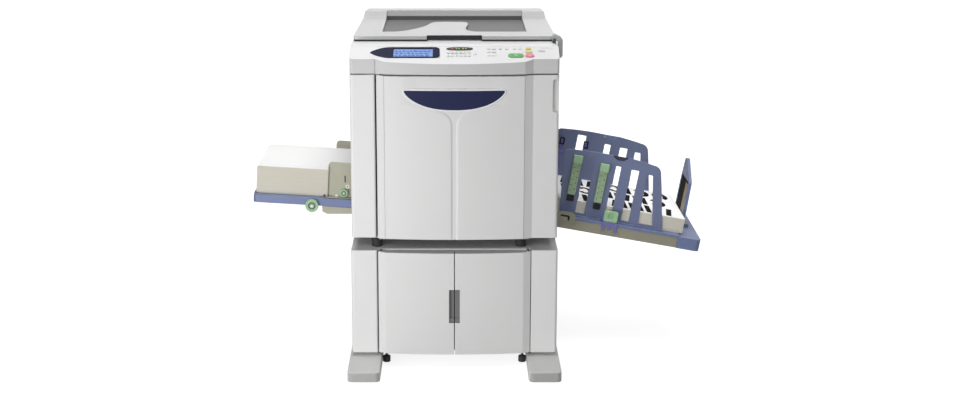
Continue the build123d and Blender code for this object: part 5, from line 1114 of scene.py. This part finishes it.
# %% Keys and their seams
PANEL_FRONT_TOP, PANEL_RISE, PANEL_DEPTH, KEY_HEIGHT = 962.0, 28.0, 64.0, 3.0
panel_slope = math.atan2(PANEL_RISE, PANEL_DEPTH)
panel_frame = (machine_frame @ Matrix.Translation((0, 0, PANEL_FRONT_TOP))
               @ Matrix.Rotation(panel_slope, 4, "X"))
slope_stretch = 1 / math.cos(panel_slope)
# Each key: its middle across and from the front, its width, its length and its corner radius.
number_keys = [(-18 + 12.4 * column, 15 + 15.5 * row, 9.2, 8.6, 3.8)
               for column in range(6) for row in range(2)]
function_keys = [(x, y, 11.0, 6.5, 2.5) for x in (102.6, 118.2) for y in (18.0, 35.0, 51.0)]
small_keys = [(x, y, 9.0, 6.0, 2.4)
              for x, y in ((62, 24), (137, 51), (157, 51), (181, 51), (197, 51))]
coloured_keys = [(183.5, 16.0, 46.0, 20.0, 9.8), (225.0, 15.0, 27.0, 14.5, 7.0),
                 (223.0, 34.0, 20.0, 11.0, 3.0), (222.0, 51.5, 15.0, 9.0, 3.0)]


def key_seams(mesh):
    """A dark ring of painted shade in the seam round every key."""
    for x, y, width, length, radius in number_keys + function_keys + small_keys + coloured_keys:
        up = y * slope_stretch
        outer = round_outline(x, up, width + 1.3, length + 1.3, radius + 0.6)
        inner = round_outline(x, up, width + 0.3, length + 0.3, radius + 0.1)
        join_rows(mesh, lay(mesh, panel_frame, outer, 0.06), lay(mesh, panel_frame, inner, 0.06))


make("key_seams", "scanner_table", "bezel_dark", "gap_shade_grey", key_seams)
print("seams round", len(number_keys + function_keys + small_keys + coloured_keys), "keys")

# %% Digits, legends and signs
# Which of the seven strokes make each digit: a top, b upper right, c lower right, d bottom,
# e lower left, f upper left, g middle.
STROKES = {"1": "bc", "2": "abged", "3": "abgcd", "4": "fgbc", "5": "afgcd", "6": "afgedc",
           "7": "abc", "8": "abcdefg", "9": "abcdfg", "0": "abcdef", "C": "afed"}
DIGIT_ROWS, DIGIT_SIZE, PRINT_LIFT = ("67890C", "12345C"), 4.2, 0.12
LEGEND_LOW, LEGEND_HIGH = 0.02, 0.14


def add_digit(mesh, digit, x, y, size, height):
    """A digit of up to seven strokes."""
    half, top, thick = size * 0.28, size / 2, size * 0.13
    spans = {"a": (-half, top, half, top), "b": (half, 0, half, top), "c": (half, -top, half, 0),
             "d": (-half, -top, half, -top), "e": (-half, -top, -half, 0),
             "f": (-half, 0, -half, top), "g": (-half, 0, half, 0)}
    for stroke in STROKES[digit]:
        x0, y0, x1, y1 = spans[stroke]
        add_block(mesh, panel_frame, (x + x0 - thick / 2, y + y0 - thick / 2, height),
                  (x + x1 + thick / 2, y + y1 + thick / 2, height + PRINT_LIFT))


def key_digits(mesh):
    """The digits on the number keys; the last column clears and repeats."""
    for order, (x, y, *_) in enumerate(number_keys):
        digit = DIGIT_ROWS[order % 2][order // 2]
        add_digit(mesh, digit, x, y * slope_stretch, DIGIT_SIZE, KEY_HEIGHT)


def panel_legends(mesh):
    """Short dark strokes above the function keys and beside the lamps."""
    source = random.Random(7)
    for x, y, width, length, _ in function_keys + small_keys[1:]:
        up = y * slope_stretch + length / 2 + 1.6
        reach = width * source.uniform(0.34, 0.5)
        add_block(mesh, panel_frame, (x - reach, up, LEGEND_LOW),
                  (x + reach, up + 1.5, LEGEND_HIGH))
    for x in (-174, -142, -110):
        add_block(mesh, panel_frame, (x, 62.5, LEGEND_LOW), (x + 18, 63.7, LEGEND_HIGH))
    for y in (46, 42.5, 39):
        add_block(mesh, panel_frame, (252, y, LEGEND_LOW), (272, y + 1.1, LEGEND_HIGH))


def start_sign(mesh):
    """An upright bar in a ring on the start key."""
    add_ring(mesh, panel_frame, 183.5, 16 * slope_stretch, 4.8, 3.9, 0.14, KEY_HEIGHT)
    add_block(mesh, panel_frame, (183.1, 15.4, KEY_HEIGHT), (183.9, 19.8, KEY_HEIGHT + 0.14))


def stop_sign(mesh):
    """A small octagon on the stop key."""
    add_ring(mesh, panel_frame, 225, 15 * slope_stretch, 3.6, 2.8, 0.14, KEY_HEIGHT, steps=8)


make("key_digits", "number_keys", "key_white", "legend_grey", key_digits)
make("panel_legends", "scanner_table", "panel_white", "legend_grey", panel_legends)
make("start_sign", "start_key", "key_white", "key_white", start_sign)
make("stop_sign", "stop_key", "key_white", "key_white", stop_sign)
print("panel marks", list(made))

# %% [markdown]
# The display sits in a dark plate that is pointed at the left and round at the right. The CAD
# plate has square corners there, so a plate with the photographed outline replaces it. It has a
# window, so its faces are filled in between two outlines instead of drawn as one.

# %% Plate round the display
# Each region: left, right, and from the front: near and far.
BEZEL = (-253.0, -44.0, 5.0, 59.0)
SCREEN = (-182.0, -65.0, 10.0, 51.0)
PLATE_POINT, PLATE_CORNER, PLATE_THICKNESS = 62, 15.0, 1.6


def plate_outline():
    """The plate's outline: a point at the left, full height from the screen on, round corners."""
    left, right, near, far = BEZEL
    centre, half = (near + far) / 2 * slope_stretch, (far - near) / 2 * slope_stretch
    flare = [(left + PLATE_POINT * part, half * math.sin(math.radians(90 * part)) ** 0.8)
             for part in (step / 12 for step in range(13))]
    points = [(x, centre - rise) for x, rise in flare]
    for start, sign in ((-90, -1), (0, 1)):
        for step in range(9):
            angle = math.radians(start + 90 * step / 8)
            points.append((right - PLATE_CORNER + PLATE_CORNER * math.cos(angle),
                           centre + sign * (half - PLATE_CORNER) + PLATE_CORNER * math.sin(angle)))
    return points + [(x, centre + rise) for x, rise in flare[:0:-1]]


def screen_plate(mesh):
    """The dark plate, as a frame round the screen's window."""
    x0, x1 = SCREEN[0] - 0.4, SCREEN[1] + 0.4
    y0, y1 = SCREEN[2] * slope_stretch, SCREEN[3] * slope_stretch
    window = [(x0, y0), (x1, y0), (x1, y1), (x0, y1)]
    edges = []
    for height in (0.0, PLATE_THICKNESS):
        for points in (plate_outline(), window):
            verts = lay(mesh, panel_frame, points, height)
            edges.append([mesh.edges.new((a, b)) for a, b in zip(verts, verts[1:] + verts[:1])])
    for pair in (edges[0] + edges[1], edges[2] + edges[3]):
        bmesh.ops.triangle_fill(mesh, edges=pair, use_beauty=True)
    for first, second in ((edges[0], edges[2]), (edges[1], edges[3])):
        for low_edge, high_edge in zip(first, second):
            (a, b), (c, d) = low_edge.verts, high_edge.verts
            mesh.faces.new((a, b, d, c))


bezel = make("screen_plate", "scanner_table", "bezel_dark", "bezel_dark", screen_plate)
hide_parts("display_bezel")
print("plate", len(bezel.data.polygons), "faces")

# %% [markdown]
# The screen shows boxes and strokes that stand for its text, drawn by a seeded random source, so
# they are the same each time. Lamps glow in the black lens above the number keys.

# %% Display and lamps
LENS = (-24.0, 56.0, 51.0, 7.5)
LAMPS = {
    "ready_lamps": ("lamp_green", ((14.0, 51.0, 2.0), (62.0, 34.5, 1.2))),
    "warning_lamps": ("lamp_amber", ((6.0, 51.0, 1.5), (26.0, 51.0, 1.5), (34.0, 51.0, 1.5))),
    "stop_lamps": ("lamp_red", ((-6.0, 51.0, 1.5), (205.5, 35.0, 1.3))),
}


def screen_content(mesh, rows=3, height=1.0):
    """Boxes and strokes in place of the screen's text."""
    source = random.Random(21)
    low, high = SCREEN[2] * slope_stretch, SCREEN[3] * slope_stretch
    for row in range(rows):
        y = low + 5 + row * (high - low - 8) / rows
        x = SCREEN[0] + 5
        while x < SCREEN[1] - 12:
            reach = source.uniform(5, 13)
            add_block(mesh, panel_frame, (x, y, height), (x + reach, y + 2.6, height + 0.1))
            if source.random() < 0.5:
                add_block(mesh, panel_frame, (x, y + 4.6, height),
                          (x + reach * 0.7, y + 6.0, height + 0.1))
            x += reach + source.uniform(2.5, 5)


def lens_body(mesh):
    """The black lens strip above the number keys."""
    x0, x1, y, half = LENS
    points = []
    for step in range(25):
        angle = math.pi * step / 24
        points.append(((x0 + x1) / 2 + (x1 - x0) / 2 * math.cos(angle),
                       y * slope_stretch + half * slope_stretch * math.sin(angle) ** 0.7))
    points += [(x, 2 * y * slope_stretch - up) for x, up in points[-2:0:-1]]
    add_prism(mesh, panel_frame, points, 1.9, 0.1)


def lamps(mesh, spots):
    """Round lamps that stand a little out of the lens or the panel."""
    for x, y, radius in spots:
        add_prism(mesh, panel_frame, circle_outline(x, y * slope_stretch, radius, 14), 2.2, 0.1)


make("screen_content", "scanner_table", "display_blue", "display_ink", screen_content)
make("lens_strip", "scanner_table", "bezel_dark", "lens_black", lens_body, 0.4)
for name, (tint, spots) in LAMPS.items():
    make(name, "scanner_table", "bezel_dark", tint, lambda mesh: lamps(mesh, spots))
print("small pieces", len(made))

# %% [markdown]
# Paper is what the machine is about. Both piles are built from separate sheets by one Geometry
# Nodes tree: a line of points, one sheet on each, pushed a little out of line by a seeded random
# vector, so the cut edges show. On the machine the loaded pile shrinks towards its top while the
# tray climbs, because the rollers take sheets off it; here it stands at one height.

# %% Piles of sheets
PAPER_FRONT, PAPER_WIDTH = 165.0, 320.0
FEED_STACK, FEED_START, FEED_LENGTH = 87.0, -310.5, 431.0
PRINT_STACK, PRINT_LENGTH = 48.0, 414.0


def real_and_painted(tree, copies, material, end):
    """Ends a tree: its copies become real geometry and take a finish."""
    real = add_node(tree, "GeometryNodeRealizeInstances", {0: copies})
    paint = add_node(tree, "GeometryNodeSetMaterial", {"Geometry": real, "Material": material})
    connect(tree, paint, end.inputs["Geometry"])


def sheet_pile_tree():
    """A Geometry Nodes tree that piles up sheets."""
    tree, start, end = node_group(
        "sheet_pile", "GeometryNodeTree",
        [("Sheets", "Int", 40), ("Length", "Float", 420.0), ("Width", "Float", 297.0),
         ("Pitch", "Float", 1.4), ("Disorder", "Vector", (1.0, 0.4, 0.0)), ("Seed", "Int", 3),
         ("Paper", "Material", None)], [("Geometry", "Geometry")])
    given = start.outputs
    rise = add_node(tree, "ShaderNodeCombineXYZ", {"Z": given["Pitch"]})
    line = add_node(tree, "GeometryNodeMeshLine", {"Count": given["Sheets"], "Offset": rise})
    lowest = add_node(tree, "ShaderNodeVectorMath", {0: given["Disorder"], "Scale": -1.0},
                      operation="SCALE")
    chance = add_node(tree, "FunctionNodeRandomValue", {
        "Min": lowest, "Max": given["Disorder"], "Seed": given["Seed"]}, data_type="FLOAT_VECTOR")
    push = add_node(tree, "GeometryNodeSetPosition",
                    {"Geometry": line, "Offset": chance.outputs["Value"]})
    size = add_node(tree, "ShaderNodeCombineXYZ",
                    {"X": given["Length"], "Y": given["Width"], "Z": given["Pitch"]})
    sheet = add_node(tree, "GeometryNodeMeshCube", {"Size": size})
    copies = add_node(tree, "GeometryNodeInstanceOnPoints", {"Points": push, "Instance": sheet})
    real_and_painted(tree, copies, given["Paper"], end)
    return tree


def grown(tree, name, values, data):
    """Runs a Geometry Nodes tree with its named inputs and keeps the plain mesh."""
    holder = new_object(name, data)
    modifier = holder.modifiers.new("tree", "NODES")
    modifier.node_group = tree
    for item in tree.interface.items_tree:
        if item.item_type == "SOCKET" and item.in_out == "INPUT" and item.name in values:
            modifier[item.identifier] = values[item.name]
    return settle(holder)


PILE = sheet_pile_tree()


def pile(name, space, start, length, height, sheets, finish_name, disorder, seed):
    """A pile of sheets that stands in a tray's frame."""
    pitch = height / sheets
    piece = grown(PILE, name, {
        "Sheets": sheets, "Length": length, "Width": PAPER_WIDTH, "Seed": seed, "Pitch": pitch,
        "Disorder": disorder, "Paper": finishes[finish_name]}, bpy.data.meshes.new(name))
    middle_of_pile = Vector((start + length / 2, PAPER_FRONT + PAPER_WIDTH / 2, 0.3 + pitch / 2))
    piece.data.transform(space @ Matrix.Translation(middle_of_pile))
    shade(piece)
    return piece


feed_pile = pile("feed_pile", feed_frame, FEED_START, FEED_LENGTH, FEED_STACK - 0.3, 58,
                 "feed_paper", (0.4, 0.35, 0.0), 5)
carried(feed_pile, "root", "paper", "feed_paper_stack")
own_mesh(feed_pile)
print_pile = pile("printed_pile", exit_frame, 0.8, PRINT_LENGTH - 1.6, PRINT_STACK - 0.3, 34,
                  "paper", (0.8, 0.55, 0.0), 9)
carried(print_pile, "root", "paper", "printed_stack")
print("sheets", len(feed_pile.data.polygons) // 6 + len(print_pile.data.polygons) // 6)

# %% [markdown]
# The photograph shows large black print on the upper sheets, cut up by the bars of the fence. It
# is not copied: thick strokes and part rings of the same weight stand for a print.

# %% Print on the top sheet
INK, TALL, THICK = 0.05, 88.0, 17.0
RING_OUTER, RING_INNER = (27, 44), (10, 27)


def part_ring(mesh, space, u, y, start, steps=16, step_angle=18.75):
    """A thick ring with a gap."""
    for step in range(steps):
        low, high = (math.radians(start + step_angle * (step + part)) for part in (0, 1))
        outline = [(u + wide * math.cos(turn), y + tall * math.sin(turn))
                   for (wide, tall), turn in ((RING_OUTER, low), (RING_OUTER, high),
                                              (RING_INNER, high), (RING_INNER, low))]
        add_prism(mesh, space, outline, INK)


def printed_marks(mesh):
    """Rows of thick strokes, slanted strokes and part rings."""
    source = random.Random(4)
    space = exit_frame @ Matrix.Translation((0, 0, PRINT_STACK + 0.02))
    for y in (177.0, 281.0, 385.0):
        u = 26.0
        while u < 372:
            kind = source.randrange(3)
            if kind == 0:
                add_block(mesh, space, (u, y, 0), (u + THICK, y + TALL, INK))
                u += THICK + 9
            elif kind == 1:
                outline = [(u, y), (u + THICK, y), (u + THICK + 12, y + TALL), (u + 12, y + TALL)]
                add_prism(mesh, space, outline, INK)
                u += THICK + 19
            elif u < 350:
                part_ring(mesh, space, u + 27, y + TALL / 2, 90.0 * source.randrange(4) + 30)
                u += 64


make("printed_marks", "root", "paper", "print_black", printed_marks)
print("marks", len(made["printed_marks"].data.polygons))

# %% [markdown]
# The feed side: both green knobs turn on pins with pale caps. Each has a dark ring in its recess
# and a raised band on its face, drawn once for a knob of any size. The front guide carries a
# small slotted slide, a pale roller and dark screws.

# %% Feed side
GUIDE_FACE, TRAY_FRONT = PAPER_FRONT - 2.5, PAPER_FRONT - 27.0
# Each knob: its middle across and up, its radius and the place of its face.
DIAL = (-446.0, 478.0, 21.0, TRAY_FRONT - 11.5)
KNOB = (-347.0, 512.0, 13.6, GUIDE_FACE - 12.0)


def knob_ring(mesh, x, z, radius, front):
    """The dark ring in the recess of a knob."""
    add_ring(mesh, front_view, x, z, radius * 0.545, radius * 0.385, 0.2, -front - 1.98)


def knob_band(mesh, x, z, radius, front):
    """A raised band on the knob's face, half way to its rim."""
    add_ring(mesh, front_view, x, z, radius * 0.86, radius * 0.62, 0.35, -front, steps=40)


def pin_cap(mesh, x, z, radius, front):
    """The pale cap on the pin of a knob."""
    add_prism(mesh, front_view, circle_outline(x, z, radius * 0.2, 20), 0.8, -front + 1.05)


def guide_details(mesh):
    """The slotted slide and the heads of the screws on the front guide."""
    add_prism(mesh, front_view, round_outline(-343, 556, 4.4, 22, 2.0), 0.5, -GUIDE_FACE - 0.05)
    add_prism(mesh, front_view, circle_outline(-335.5, 532, 2.2, 14), 3.4, -GUIDE_FACE)
    for x, z, radius in ((-409.5, 503.4, 3.4), (-397, 503.6, 2.2), (-388, 502.9, 1.8),
                         (-322.5, 521, 3.4)):
        add_prism(mesh, front_view, circle_outline(x, z, radius, 14), 1.4, -GUIDE_FACE)


def guide_roller(mesh):
    """The pale roller and the pale button beside the knob."""
    add_prism(mesh, front_view, circle_outline(-335.5, 532, 6.4, 24), 3.0, -GUIDE_FACE)
    add_prism(mesh, front_view, circle_outline(-371, 502.6, 4.2, 20), 2.0, -GUIDE_FACE)


for name, knob in (("position_dial", DIAL), ("guide_lock_knob", KNOB)):
    body = body_of[name]
    skins[name] = rounded_copy(name, 0.45)
    make(name + "_ring", body, "black_plastic", "black_plastic",
         lambda mesh: knob_ring(mesh, *knob))
    make(name + "_band", body, "soft_green", "soft_green",
         lambda mesh: knob_band(mesh, *knob), 0.15)
make("guide_details", "feed_guide_front", "black_plastic", "black_plastic", guide_details, 0.3)
make("guide_roller", "feed_guide_front", "key_white", "key_white", guide_roller, 0.4)
for name, body, knob in (("dial_cap", body_of["feed_arms"], DIAL),
                         ("knob_cap", "feed_guide_front", KNOB)):
    make(name, body, "key_white", "key_white", lambda mesh: pin_cap(mesh, *knob), 0.2)
print("small pieces", len(made))

# %% [markdown]
# The receiving side: each green arranger has a pale cap and dark dots, its slide is black, and
# the lock lever sits on a purple bracket that grips over the rail. These colours are dyed on
# the rounded copies, in the tray's own frame.

# %% Colours of the receiving side
WING_FRONT_Y, WING_REAR_Y = PAPER_FRONT - 4.0, PAPER_FRONT + PAPER_WIDTH + 1.0
# Each arranger: its place along the tray and its top.
ARRANGERS = ((41.5, 192.0), (128.5, 180.0))
LOCK_PLACE, STOP_PLACE = 177.0, PRINT_LENGTH + 4.0


def arranger_tops(u):
    """The top of the arranger at a place along the tray, or none."""
    return [top for place_of_it, top in ARRANGERS if abs(u - place_of_it) < 14]


dye_or_paint_light(skins["arrangers_front"], "soft_green",
    lambda u, y, w, n: any(w > top - 22.6 for top in arranger_tops(u)), exit_frame)
dye_or_paint_light(skins["arrangers_front"], "lens_black",
    lambda u, y, w, n: any(w < top - 126 for top in arranger_tops(u)), exit_frame)
dye_or_paint_light(skins["wing_front"], "lock_purple", lambda u, y, w, n: (
    abs(u - LOCK_PLACE) < 27 and y < WING_FRONT_Y - 0.2 and 3.35 < w < 17), exit_frame)
dye_or_paint_light(skins["end_stop"], "pad_black", lambda u, y, w, n: (
    STOP_PLACE + 0.3 < u < STOP_PLACE + 4.2 and 261 < y < 389 and 27 < w < 149), exit_frame)
dye_or_paint_light(skins["rubber_feet"], "foot_grey", lambda x, y, z, n: z > 401.5)

# %% [markdown]
# The thumb notches of the fences are shallow dishes, so a thin floor closes them; the floor of the
# front one is painted dark as the shade in it. The far fence has two purple arrangers of its own
# with black clips, and the end plate a brown strip.

# %% Fittings of the receiving side
NOTCH = ((146.5, 209.5), (150, 209), (157, 203.5), (163, 199), (174, 196.5), (185, 199),
         (191, 203.5), (198, 209), (201.5, 209.5), (199, 211.9), (149, 211.9))
FRONT_NOTCH_Y, REAR_NOTCH_Y = 163.9, 488.6
REAR_ARRANGERS = (17.0, 97.0)
RAIL_FRONT, RAIL_GRIP = 128.4, 130.8


def arranger_dots(mesh):
    """Dark dots of painted shade for the holes beside the ribs of both arrangers."""
    for u, top in ARRANGERS:
        for step in range(5):
            for side in (-1, 1):
                spot = circle_outline(u + side * 6.5, top - 33 - 19 * step + 4 * side, 1.5, 10)
                add_prism(mesh, exit_front, spot, 0.15, -(WING_FRONT_Y - 9.3))


def rear_arrangers(mesh):
    """Two slim arrangers on the inner face of the far fence."""
    y = WING_REAR_Y
    for u in REAR_ARRANGERS:
        add_block(mesh, exit_frame, (u - 6, y - 7, 54), (u + 6, y - 0.3, 172))
        for w in range(68, 149, 20):
            add_block(mesh, exit_frame, (u - 7.5, y - 8.6, w), (u + 7.5, y - 1, w + 6))


def rear_clips(mesh):
    """The black tops of the far arrangers, each a small frame."""
    near, far = WING_REAR_Y - 11, WING_REAR_Y - 7.2
    for u in REAR_ARRANGERS:
        for left, low, right, high in ((-8, 156, 8, 160), (-8, 176, 8, 180), (-8, 156, -4, 180),
                                       (4, 156, 8, 180)):
            add_block(mesh, exit_frame, (u + left, near, low), (u + right, far, high))


def lock_bracket(mesh):
    """The purple bracket that grips over the tray's rail."""
    low, high, centre = LOCK_PLACE - 24.5, LOCK_PLACE + 24.5, LOCK_PLACE
    for left, foot, right, top, depth in (
            (low, 0.6, high, 3.2, 136.6), (low, -9, high, 0.6, RAIL_GRIP),
            (low, -27, low + 9, -9, RAIL_GRIP), (high - 9, -27, high, -9, RAIL_GRIP),
            (centre - 4, -20, centre + 4, -9, RAIL_GRIP)):
        add_block(mesh, exit_frame, (left, RAIL_FRONT, foot), (right, depth, top))


def hook_marks(mesh):
    """A dark slot of painted shade on the front hook bracket, and the screw below the right cover.
    """
    add_prism(mesh, exit_front, round_outline(33, 2, 28, 6, 2.9), 0.3, -129.05)
    add_prism(mesh, exit_front, round_outline(46, -4, 6, 15, 2.9), 0.3, -129.05)


def stop_strip(mesh):
    """The brown strip beside the pad of the end plate."""
    add_block(mesh, exit_frame, (STOP_PLACE - 0.2, 264, 40), (STOP_PLACE + 0.45, 300, 140))


arrangers_body = body_of["arrangers_front"]
make("arranger_dots", arrangers_body, "black_plastic", "lens_black", arranger_dots)
# Painted shade: the floor of the front notch is near black.
make("front_notch", "wing_front", "fence_blue", "notch_painted_shade",
     lambda mesh: add_prism(mesh, exit_front, NOTCH, 1.1, -FRONT_NOTCH_Y))
make("rear_notch", "wing_rear", "fence_blue", "tray_blue",
     lambda mesh: add_prism(mesh, exit_front, NOTCH, 1.1, -REAR_NOTCH_Y))
make("rear_arrangers", "wing_rear", "fence_blue", "lock_purple", rear_arrangers, 0.6)
make("rear_clips", "wing_rear", "fence_blue", "lens_black", rear_clips, 0.4)
make("lock_bracket", "wing_front", "fence_blue", "lock_purple", lock_bracket, 0.5)
make("hook_slot", "root", "bracket_beige", "lens_black", hook_marks)
make("stop_strip", "end_stop", "fence_blue", "foam_brown", stop_strip, 0.15)
print("small pieces", len(made))

# %% [markdown]
# Screws, louvres and the holes of the drum's screen are the same form set down many times. One
# Geometry Nodes tree does it: a disc or a bar on every point, lying flat on its face or turned
# outwards from an axis. The points come from Python, in the frame of the face that they lie on.

# %% A tree for repeated fittings
def fitting_tree():
    """A Geometry Nodes tree that sets a disc or a bar on every point."""
    tree, start, end = node_group(
        "fittings", "GeometryNodeTree",
        [("Points", "Geometry", None), ("Round", "Bool", True), ("Sides", "Int", 16),
         ("Size", "Vector", (3.0, 3.0, 1.0)), ("Radial", "Bool", False), ("Turn", "Float", 0.0),
         ("Finish", "Material", None)], [("Geometry", "Geometry")])
    given = start.outputs
    disc = add_node(tree, "GeometryNodeMeshCylinder",
                    {"Radius": 0.5, "Depth": 1.0, "Vertices": given["Sides"]})
    bar = add_node(tree, "GeometryNodeMeshCube")
    form = add_node(tree, "GeometryNodeSwitch", {
        "Switch": given["Round"], "False": bar, "True": disc}, input_type="GEOMETRY")
    spot = add_node(tree, "GeometryNodeInputPosition")
    outwards = add_node(tree, "ShaderNodeVectorMath", {0: spot, 1: (1, 0, 1)},
                        operation="MULTIPLY")
    aim = add_node(tree, "GeometryNodeSwitch", {
        "Switch": given["Radial"], "False": (0, 0, 1), "True": outwards}, input_type="VECTOR")
    turned = add_node(tree, "ShaderNodeCombineXYZ", {"Z": given["Turn"]})
    stand = add_node(tree, "FunctionNodeAlignRotationToVector",
                     {"Rotation": turned, "Vector": aim}, axis="Z")
    copies = add_node(tree, "GeometryNodeInstanceOnPoints", {
        "Points": given["Points"], "Instance": form, "Rotation": stand, "Scale": given["Size"]})
    real_and_painted(tree, copies, given["Finish"], end)
    return tree


FITTING = fitting_tree()


def fittings(name, body, slot, finish_name, space, points, size, **options):
    """Sets one form on many points of a face and lets the result ride on a body."""
    data = bpy.data.meshes.new(name)
    data.from_pydata(points, [], [])
    piece = grown(FITTING, name, {"Size": size, "Finish": finishes[finish_name], **options}, data)
    piece.data.transform(space)
    shade(piece)
    made[name] = piece
    return carried(piece, body, slot)


print("inputs of the tree", [item.name for item in FITTING.interface.items_tree])

# %% [markdown]
# The flanks and the back are held by pan-head screws. Each is a short steel disc with two thin
# dark bars across it, painted shade for its cross recess. Frames on the three faces let one list
# of places serve both flanks.

# %% Screws of the covers
def side_view(x, y, turn):
    """A frame on an upright face: x along it, y up and z outwards."""
    return facing_front(machine_frame @ Matrix.Translation((x, y, 0))
                        @ Matrix.Rotation(math.radians(turn), 4, "Z"))


def screws(name, space, points):
    """Pan heads with a dark cross, painted shade for the recess."""
    fittings(name + "_heads", "root", "cover_white", "steel", space,
             [(x, y, 0.5) for x, y in points], (6.6, 6.6, 1.4), Sides=24)
    # Painted shade: two dark bars stand for the shade in the cross recess.
    for label, turn in (("_cross_a", 0.4), ("_cross_b", 0.4 + math.pi / 2)):
        fittings(name + label, "root", "cover_white", "lens_black", space,
                 [(x, y, 1.2) for x, y in points], (3.6, 0.8, 0.12), Round=False, Turn=turn)


rear_view = side_view(0, BODY_DEPTH, 180)
left_view, right_view = side_view(-BODY_HALF, 0, -90), side_view(BODY_HALF, 0, 90)
screws("rear_screws", rear_view, [(x, z) for x in (-300, 300) for z in (424, 560, 700, 840, 903)]
       + [(x, z) for x in (-120, 120) for z in (424, 903)])
FLANK_SCREWS = ((28, 424), (625, 424), (28, 901), (625, 901))
screws("left_screws", left_view, [(-y, z) for y, z in FLANK_SCREWS])
screws("right_screws", right_view, FLANK_SCREWS)
print("small pieces", len(made))

# %% [markdown]
# Air for the motor and the supply passes through louvres in the rear cover and low down in the
# left one: a bright folded lip over a slot, whose shade is painted as a dark bar. The rear cover
# also carries a blank rating plate on four rivets, and the drum's screen has rows of fine holes.

# %% Louvres, rating plate and the drum's screen
PLATE_X, PLATE_Z = 206, 522
DRUM_X, DRUM_Z, DRUM_RADIUS = -10, 717, 95.0
HOLE_RINGS, HOLES_IN_RING = 22, 40


def louvres(name, space, x, low, rows, length):
    """Rows of folded lips, each over a dark bar of painted shade for its slot."""
    heights = [low + 12 * row for row in range(rows)]
    fittings(name + "_lips", "root", "cover_white", "cover_white", space,
             [(x, z, 0.9) for z in heights], (length, 3.2, 1.8), Round=False)
    # Painted shade: a dark bar stands for the shade in each slot.
    fittings(name + "_slots", "root", "cover_white", "lens_black", space,
             [(x, z - 3.4, 0.02) for z in heights], (length - 4, 3.6, 0.2), Round=False)


def rating_plate(mesh):
    """A blank plate with its border raised a little."""
    add_prism(mesh, rear_view, round_outline(PLATE_X, PLATE_Z, 96, 52, 3.0), 0.5, -0.05)
    add_prism(mesh, rear_view, round_outline(PLATE_X, PLATE_Z, 84, 40, 2.0), 0.25, 0.4)


louvres("motor_louvres", rear_view, -236, 500, 11, 96)
louvres("supply_louvres", rear_view, 60, 440, 7, 130)
louvres("left_louvres", left_view, -520, 446, 5, 120)
make("rating_plate", "root", "steel", "steel", rating_plate, 0.12)
fittings("plate_rivets", "root", "steel", "black_plastic", rear_view,
         [(PLATE_X + side * 44.6, PLATE_Z + up * 22.6, 0.5) for side in (-1, 1) for up in (-1, 1)],
         (2.6, 2.6, 0.7), Sides=12)
holes = []
for ring in range(HOLE_RINGS):
    for step in range(HOLES_IN_RING):
        angle = math.radians(30 + 300 * (step + ring % 2 / 2) / HOLES_IN_RING)
        holes.append((DRUM_RADIUS * math.sin(angle), 110 + 14.5 * ring,
                      -DRUM_RADIUS * math.cos(angle)))
fittings("screen_holes", body_of["print_drum"], "drum_screen", "lens_black",
         machine_frame @ Matrix.Translation((DRUM_X, 0, DRUM_Z)), holes, (2.4, 2.4, 0.12),
         Radial=True, Sides=8)
print("small pieces", len(made))

# %% [markdown]
# Inside, the ink bottle has a yellow label and a green cap ring, and the scan carriage a pale
# lamp under the glass.

# %% Details inside
make("ink_label", body_of["ink_cartridge"], "black_plastic", "key_yellow", lambda mesh: add_ring(
    mesh, front_view, DRUM_X, DRUM_Z, 38.15, 37.7, 120, -250, steps=48))
make("ink_cap_ring", body_of["ink_cartridge"], "black_plastic", "soft_green", lambda mesh: add_ring(
    mesh, front_view, DRUM_X, DRUM_Z, 38.6, 37.0, 9, -58, steps=48), 0.4)
make("scan_lamp", body_of["scan_carriage"], "dark_paint", "pad_white", lambda mesh: add_block(
    mesh, machine_frame, (-196, 226, 980.6), (-190, 504, 983.4)), 0.9)
print("small pieces", len(made))
